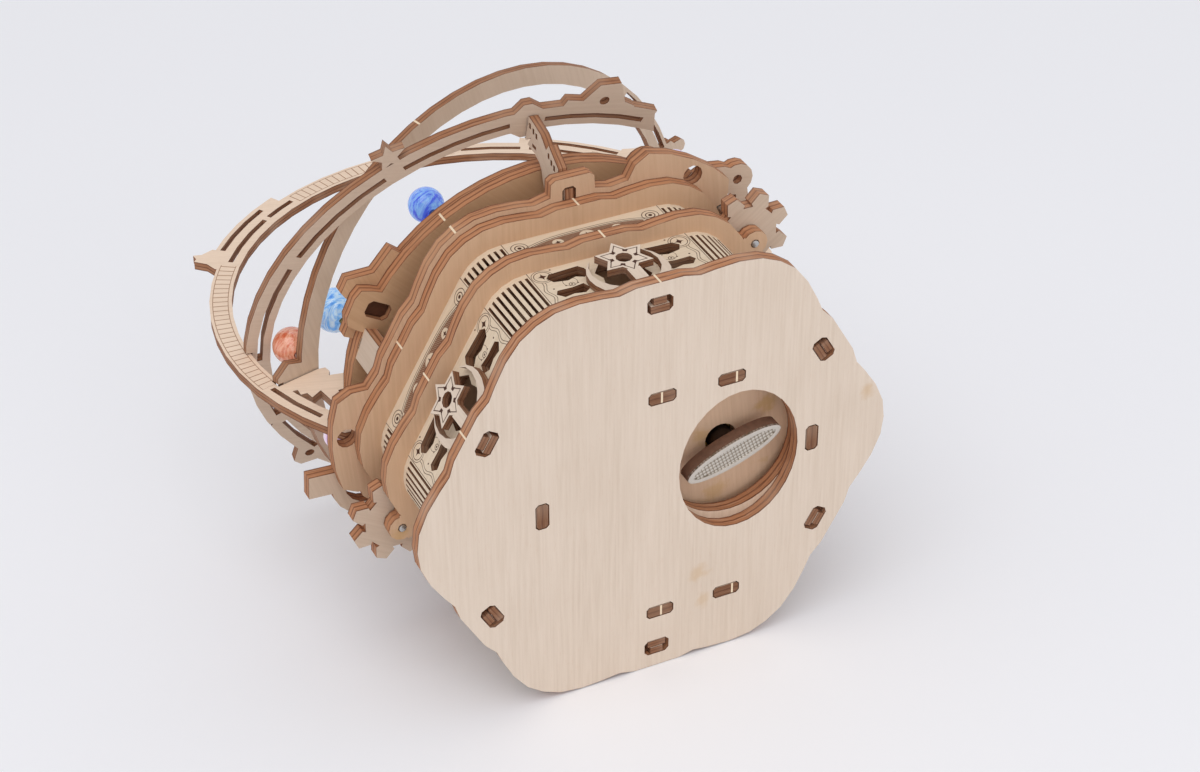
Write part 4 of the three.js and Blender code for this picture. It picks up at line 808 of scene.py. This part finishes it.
def copied_node(name):
    """A copy of a CAD node's mesh, with its doubles merged, in edit mode."""
    deselect()
    copy = bpy.data.objects.new(name + "_copy", nodes[name].data.copy())
    copy.matrix_world = nodes[name].matrix_world.copy()
    bpy.context.scene.collection.objects.link(copy)
    copy.select_set(True)
    bpy.context.view_layer.objects.active = copy
    bpy.ops.object.mode_set(mode="EDIT")
    bpy.ops.mesh.select_all(action="SELECT")
    bpy.ops.mesh.remove_doubles(threshold=1e-6)
    bpy.ops.mesh.dissolve_limited(angle_limit=math.radians(1))
    return copy


def key_lens(low, high):
    """The outline of the winding key as a slab between two heights, left in edit mode."""
    deselect()
    bpy.ops.mesh.primitive_cylinder_add(vertices=96, radius=KEY_HALF_LENGTH * MM, depth=(high - low) * MM,
                                        location=Vector((KEY_X, 0, (low + high) / 2)) * MM,
                                        rotation=(0, 0, math.radians(KEY_TURN)))
    lens = bpy.context.object
    bpy.ops.object.mode_set(mode="EDIT")
    bpy.ops.mesh.select_all(action="SELECT")
    bpy.ops.transform.resize(value=(1, KEY_HALF_WIDTH / KEY_HALF_LENGTH, 1), orient_type="LOCAL")
    return lens


def winding_key(nickel, walnut):
    """The silver lens with its sunk, knurled field, and the brown grip behind it."""
    face = key_lens(KEY_LOW, KEY_SEAM)
    pick(face, "edges", lambda line: all(v.co.z < 0 for v in line.verts))
    bpy.ops.mesh.bevel(offset=0.15 * MM, segments=2)
    pick(face, "faces", lambda side: side.normal.z < -0.99 and len(side.verts) > FLAT_END)
    bpy.ops.mesh.extrude_region_move()
    bpy.ops.transform.resize(value=(0.9, 0.72, 1), orient_type="LOCAL", center_override=KEY_FACE_CENTRE)
    bpy.ops.mesh.extrude_region_move(TRANSFORM_OT_translate={"value": (0, 0, 0.28 * MM)})
    bpy.ops.transform.resize(value=(0.985, 0.95, 1), orient_type="LOCAL", center_override=KEY_FACE_CENTRE)
    bpy.ops.mesh.select_all(action="SELECT")
    bpy.ops.mesh.normals_make_consistent(inside=False)
    finish_piece(face, "winding_key_silver", "key_drive", nickel, ("winding_key_face",))
    grip = key_lens(KEY_SEAM, KEY_TOP)
    pick(grip, "edges", is_level)
    bpy.ops.mesh.bevel(offset=0.3 * MM, segments=3)
    finish_piece(grip, "winding_key_grip", "key_drive", walnut, ("winding_key",))


def sunk_ear_key(material):
    """The end of the key in the ear's slot, sunk 1.2 mm below the plate's face."""
    end = copied_node("ear_key")
    pick(end, "verts", lambda v: v.co.z < 51 * MM)
    bpy.ops.transform.translate(value=(0, 0, 1.2 * MM))
    finish_piece(end, "ear_key_end", "case", material, ("ear_key",))


def on_circle(radius, degrees, height):
    return (radius * math.cos(math.radians(degrees)), radius * math.sin(math.radians(degrees)), height)


def metal_and_beads(steel, brass, dark, nickel, walnut, beads):
    """What is polished, turned or bent: each rod is given by its radius and the heights of its ends."""
    left, right = (on_circle(FLOWER_RADIUS, degrees, 59.5) for degrees in (FLOWER_LEFT, FLOWER_RIGHT))
    for name, body, centre, radius, bore, slot in (
            ("bead_blue", "inner_orbit", on_circle(*BLUE_ARM, 85), 4.0, 0.95, "glass_blue"),
            ("bead_pale", "outer_orbit", on_circle(*PALE_ARM, 76.5), 4.9, 0.95, "glass_pale_blue"),
            ("bead_orange", "case", on_circle(*ORANGE_BEAD, 72.9), 4.1, 0.95, "glass_orange"),
            ("bead_pink", "flower_left", left, 3.1, 1.0, "glass_pink"),
            ("bead_purple", "flower_right", right, 3.1, 1.0, "glass_purple"),
            ("sun", "inner_orbit", (0, 0, RING_CENTRE), 8.0, 1.4, "glass_amber")):
        bored_bead(name, body, centre, radius, bore, beads[name])
    rod("bead_pin", "case", on_circle(*ORANGE_BEAD, 0)[:2], 0.7, 67.87, 76.6, steel)
    for name, body, place, node in (("spindle_left_turned", "flower_left", left, "spindle_left"),
                                    ("spindle_right_turned", "flower_right", right, "spindle_right")):
        rod(name, body, place[:2], 0.8, 23.4, 63.22, steel, (node,))
    rod("orbit_shaft_turned", "inner_orbit", (0, 0), 1.1, 39.3, 72.95, steel, ("orbit_shaft",))
    rod("arm_blue_hub", "inner_orbit", (0, 0), 4.6, 63.8, 66.2, steel, ("arm_blue",), 0.4, 1.15)
    out, degrees = BLUE_ARM
    bent_wire("arm_blue_wire", "inner_orbit", degrees, ((3, 65), (21.24, 65), (out, 69.66), (out, 82.6)), 0.7,
              steel, ("arm_blue",))
    rod("orbit_tube_turned", "outer_orbit", (0, 0), 2.7, 45.75, 59.4, brass, ("orbit_tube_arm",),
        0.3, 1.3)
    rod("arm_pale_hub", "outer_orbit", (0, 0), 4.6, 59, 61.4, brass, ("orbit_tube_arm",), 0.4, 1.3)
    out, degrees = PALE_ARM
    bent_wire("arm_pale_wire", "outer_orbit", degrees,
              ((3, 60.2), (32.39, 60.2), (out, 67.31), (out, 73.2)), 0.7,
              brass, ("orbit_tube_arm",))
    rod("drive_shaft_turned", "key_drive", (KEY_X, 0), 1.5, 10.7, 50.1, steel, ("drive_shaft",))
    rod("key_hub", "key_drive", (KEY_X, 0), 2.8, 5.3, 10.9, dark, ("drive_shaft",), 0.5)
    winding_key(nickel, walnut)


def dress_nodes():
    # each node with the height of its lower face, the way of its grain, its level of painted light (below 1
    # painted shade) and its painted warm shade
    flat = [
        ("base_plate", 0, (0, 1, 0), 1.0, 0.0), ("inner_plate", 3, (0, 1, 0), 0.95, 0.8),
        ("recess_floor", 7.9, (0.1, 1, 0), 1.0, 1.4), ("second_plate", 23.7, (0.05, 1, 0), 0.94, 1.8),
        ("third_plate", 36, (0, 1, 0), 0.92, 1.8), ("fourth_plate", 39, (0.1, 1, 0), 0.88, 1.7),
        ("top_plate", 50.6, (0.7, 0.7, 0), 0.78, 2.3), ("crown_plate", 53.6, (0.4, 0.9, 0), 0.78, 2.3),
        ("bracket_left", 42, (0.3, 1, 0), 0.85, 0.8), ("bracket_right", 42, (1, 0.2, 0), 0.85, 0.8),
        ("flower_gear_left", 27, (1, 0.6, 0), 0.86, 0.6),
        ("flower_gear_right", 27, (0.8, -0.6, 0), 0.86, 0.6),
        ("orbit_gear_low", 42.5, (1, 0.3, 0), 0.95, 0.3), ("orbit_gear_high", 46, (0.2, 1, 0), 0.95, 0.3),
        ("drive_gears", 42.5, (0.6, 1, 0), 0.95, 0.3),
    ]
    for i, (name, offset, grain, painted_light_level, painted_warm_shade) in enumerate(flat):
        dress(name, sheet_material("birch_" + name, (0, 0, 1), offset, grain, i * 3.7, painted_light_level, painted_warm_shade,
                                   stains_and_patches=STAINS_AND_BROWN_PATCHES.get(name, ())))
    for i, (name, axis, offset) in enumerate([
            ("box_wall_back", (0, 1, 0), 19.1), ("box_wall_front", (0, 1, 0), -34.65),
            ("box_wall_left", (1, 0, 0), -36.56), ("box_wall_right", (1, 0, 0), 24)]):
        dress(name, sheet_material("birch_" + name, axis, offset, (0, 0, 1), 60 + i * 2.3, 0.9, 0.6,
                                   edge=0.42))
    for i, degrees in enumerate((20, 150, 270)):
        dress(f"spacer_post_{i + 1}", sheet_material(f"birch_spacer_post_{i + 1}", turned_axis(degrees), 42.6,
                                                     (0, 0, 1), 70 + i, 0.85, 0.5))
    for i, degrees in enumerate(SIDES):
        dress(f"crescents_{i + 1}", sheet_material(f"birch_crescents_{i + 1}", turned_axis(degrees), 40.8,
                                                   (0, 0, 1), 80 + i, 1.03, 0.2, ORNAMENT_SHEET, edge=0.5))
        dress(f"star_{i + 1}", sheet_material(f"birch_star_{i + 1}", turned_axis(degrees), 42.6,
                                              (0, 0, 1), 90 + i, 1.05, 0.1, ORNAMENT_SHEET, star_marks,
                                              edge=0.5))
    dress("lower_wall", wall_material("birch_lower_wall", 40.6, 5.1, "lower_wall_marks"))
    dress("upper_wall", wall_material("birch_upper_wall", 40.4, 9.4, "upper_wall_marks"))
    orbit = Vector((-0.072, 0.297, 0.952)).normalized()
    inner = Vector((0.256, 0.006, 0.967)).normalized()
    for name, axis, offset, grain, seed, painted_light_level in (
            ("meridian_ring", (0, 1, 0), -1, (1, 0, 0.3), 101, 1.2),
            ("slanted_ring", orbit, 72.4 * orbit.z + 1, (1, 0.2, 0), 103, 0.92),
            ("inner_ring", inner, RING_CENTRE * inner.z - 0.5, (0.3, 1, 0), 107, 0.9),
            ("upright", (1, 0, 0), -0.2, (0, 1, 1), 109, 0.95)):
        dress(name, sheet_material("birch_" + name, axis, offset, grain, seed, painted_light_level, 0.5, RING_SHEET,
                                   meridian_marks if name == "meridian_ring" else None, edge=0.72))
    steel = metal_material("steel", rgb(196, 196, 196), 0.32)
    brass = metal_material("brass", rgb(202, 168, 96), 0.34)
    for name in ("spring_barrel", "comb"):
        dress(name, steel)
    for name in ("movement_frame", "pinned_drum"):
        dress(name, brass)
    beads = {}
    for name, marble, deep, middle, light, seed in (
            ("bead_blue", "bead_blue_marble", (44, 60, 214), (66, 104, 236), (134, 190, 250), 3.1),
            ("bead_pale", "bead_sky_marble", (56, 124, 234), (112, 184, 252), (204, 234, 254), 7.9),
            ("bead_orange", "bead_orange_marble", (172, 68, 38), (204, 106, 72), (228, 168, 140), 4.4),
            ("bead_purple", "bead_purple_marble", (120, 72, 170), (170, 132, 206), (226, 206, 240), 1.7),
            ("bead_pink", "bead_pink_marble", (206, 160, 210), (232, 200, 234), (250, 238, 250), 2.8),
            ("sun", "bead_amber_marble", (206, 120, 20), (240, 176, 60), (252, 226, 150), 6.3)):
        beads[name] = bead_material(marble, rgb(*deep), rgb(*middle), rgb(*light), seed)
    metal_and_beads(steel, brass, metal_material("key_hub_dark", rgb(64, 54, 48), 0.5),
                    knurled_material("key_nickel", rgb(206, 198, 188)),
                    plain_wood_material("key_walnut", rgb(130, 98, 80)), beads)
    sunk_ear_key(plain_wood_material("scorched_end", rgb(92, 56, 38)))


def make_floor():
    deselect()
    bpy.ops.mesh.primitive_plane_add(size=6)
    floor = bpy.context.object
    floor.name = "floor"
    level = FLOOR_UP.to_track_quat("Z", "Y").to_matrix().to_4x4()
    floor.matrix_world = Matrix.Translation(FLOOR_POINT) @ level
    material, s, surface = new_material("floor_paper")
    here = s.add("ShaderNodeTexCoord")
    soft = s.noise(here.outputs["Object"], scale=3, detail=2)
    s.put(surface.inputs["Base Color"], s.mix(soft, (*rgb(247, 247, 251), 1), (*rgb(250, 250, 253), 1)))
    surface.inputs["Roughness"].default_value = 0.9
    surface.inputs["Specular IOR Level"].default_value = 0.1
    # from below, the floor doesn't hide the object
    clear = s.add("ShaderNodeBsdfTransparent")
    below = s.math("MULTIPLY", s.add("ShaderNodeNewGeometry").outputs["Backfacing"],
                   s.add("ShaderNodeLightPath").outputs["Is Camera Ray"])
    blend = s.add("ShaderNodeMixShader")
    s.put(blend.inputs[0], below)
    s.put(blend.inputs[1], surface.outputs[0])
    s.put(blend.inputs[2], clear.outputs[0])
    s.put(material.node_tree.nodes["Material Output"].inputs["Surface"], blend.outputs[0])
    floor.data.materials.append(material)


def make_light():
    """An even, pale room, a little darker to light than to look at, with two large lamps."""
    world = bpy.data.worlds.new("studio")
    world.use_nodes = True
    ws = Shader(world.node_tree)
    background = world.node_tree.nodes["Background"]
    rays = ws.add("ShaderNodeLightPath")
    seen = ws.math("MAXIMUM", rays.outputs["Is Camera Ray"],
                   ws.math("MAXIMUM", rays.outputs["Is Glossy Ray"], rays.outputs["Is Transmission Ray"]))
    ws.put(background.inputs["Color"], (*rgb(236, 237, 240), 1))
    ws.put(background.inputs["Strength"], ws.math("ADD", 0.7, ws.math("MULTIPLY", seen, 0.3)))
    bpy.context.scene.world = world
    # each lamp's place in metres: to the right in the picture, up from the floor and toward the camera
    toward = (-VIEW_AHEAD - FLOOR_UP * (-VIEW_AHEAD).dot(FLOOR_UP)).normalized()
    for name, right, up, near, size, power, tint in (
            ("key_light", -0.3, 2.1, 1.2, 2.4, 21, (1, 0.99, 0.98)),
            ("fill_light", 0.9, 1.0, 2.2, 2.6, 14, (0.98, 0.99, 1))):
        softbox(name, MIDDLE + (VIEW_RIGHT * right + FLOOR_UP * up + toward * near), size, power, tint)


bpy.context.scene.view_settings.view_transform = "Standard"
make_camera()
for make_group in (sheet_place_group, wall_place_group, ring_place_group, ply_look_group, scale_marks_group,
                   lower_wall_marks_group, upper_wall_marks_group, star_marks_group):
    make_group()
make_floor()
make_light()
dress_nodes()
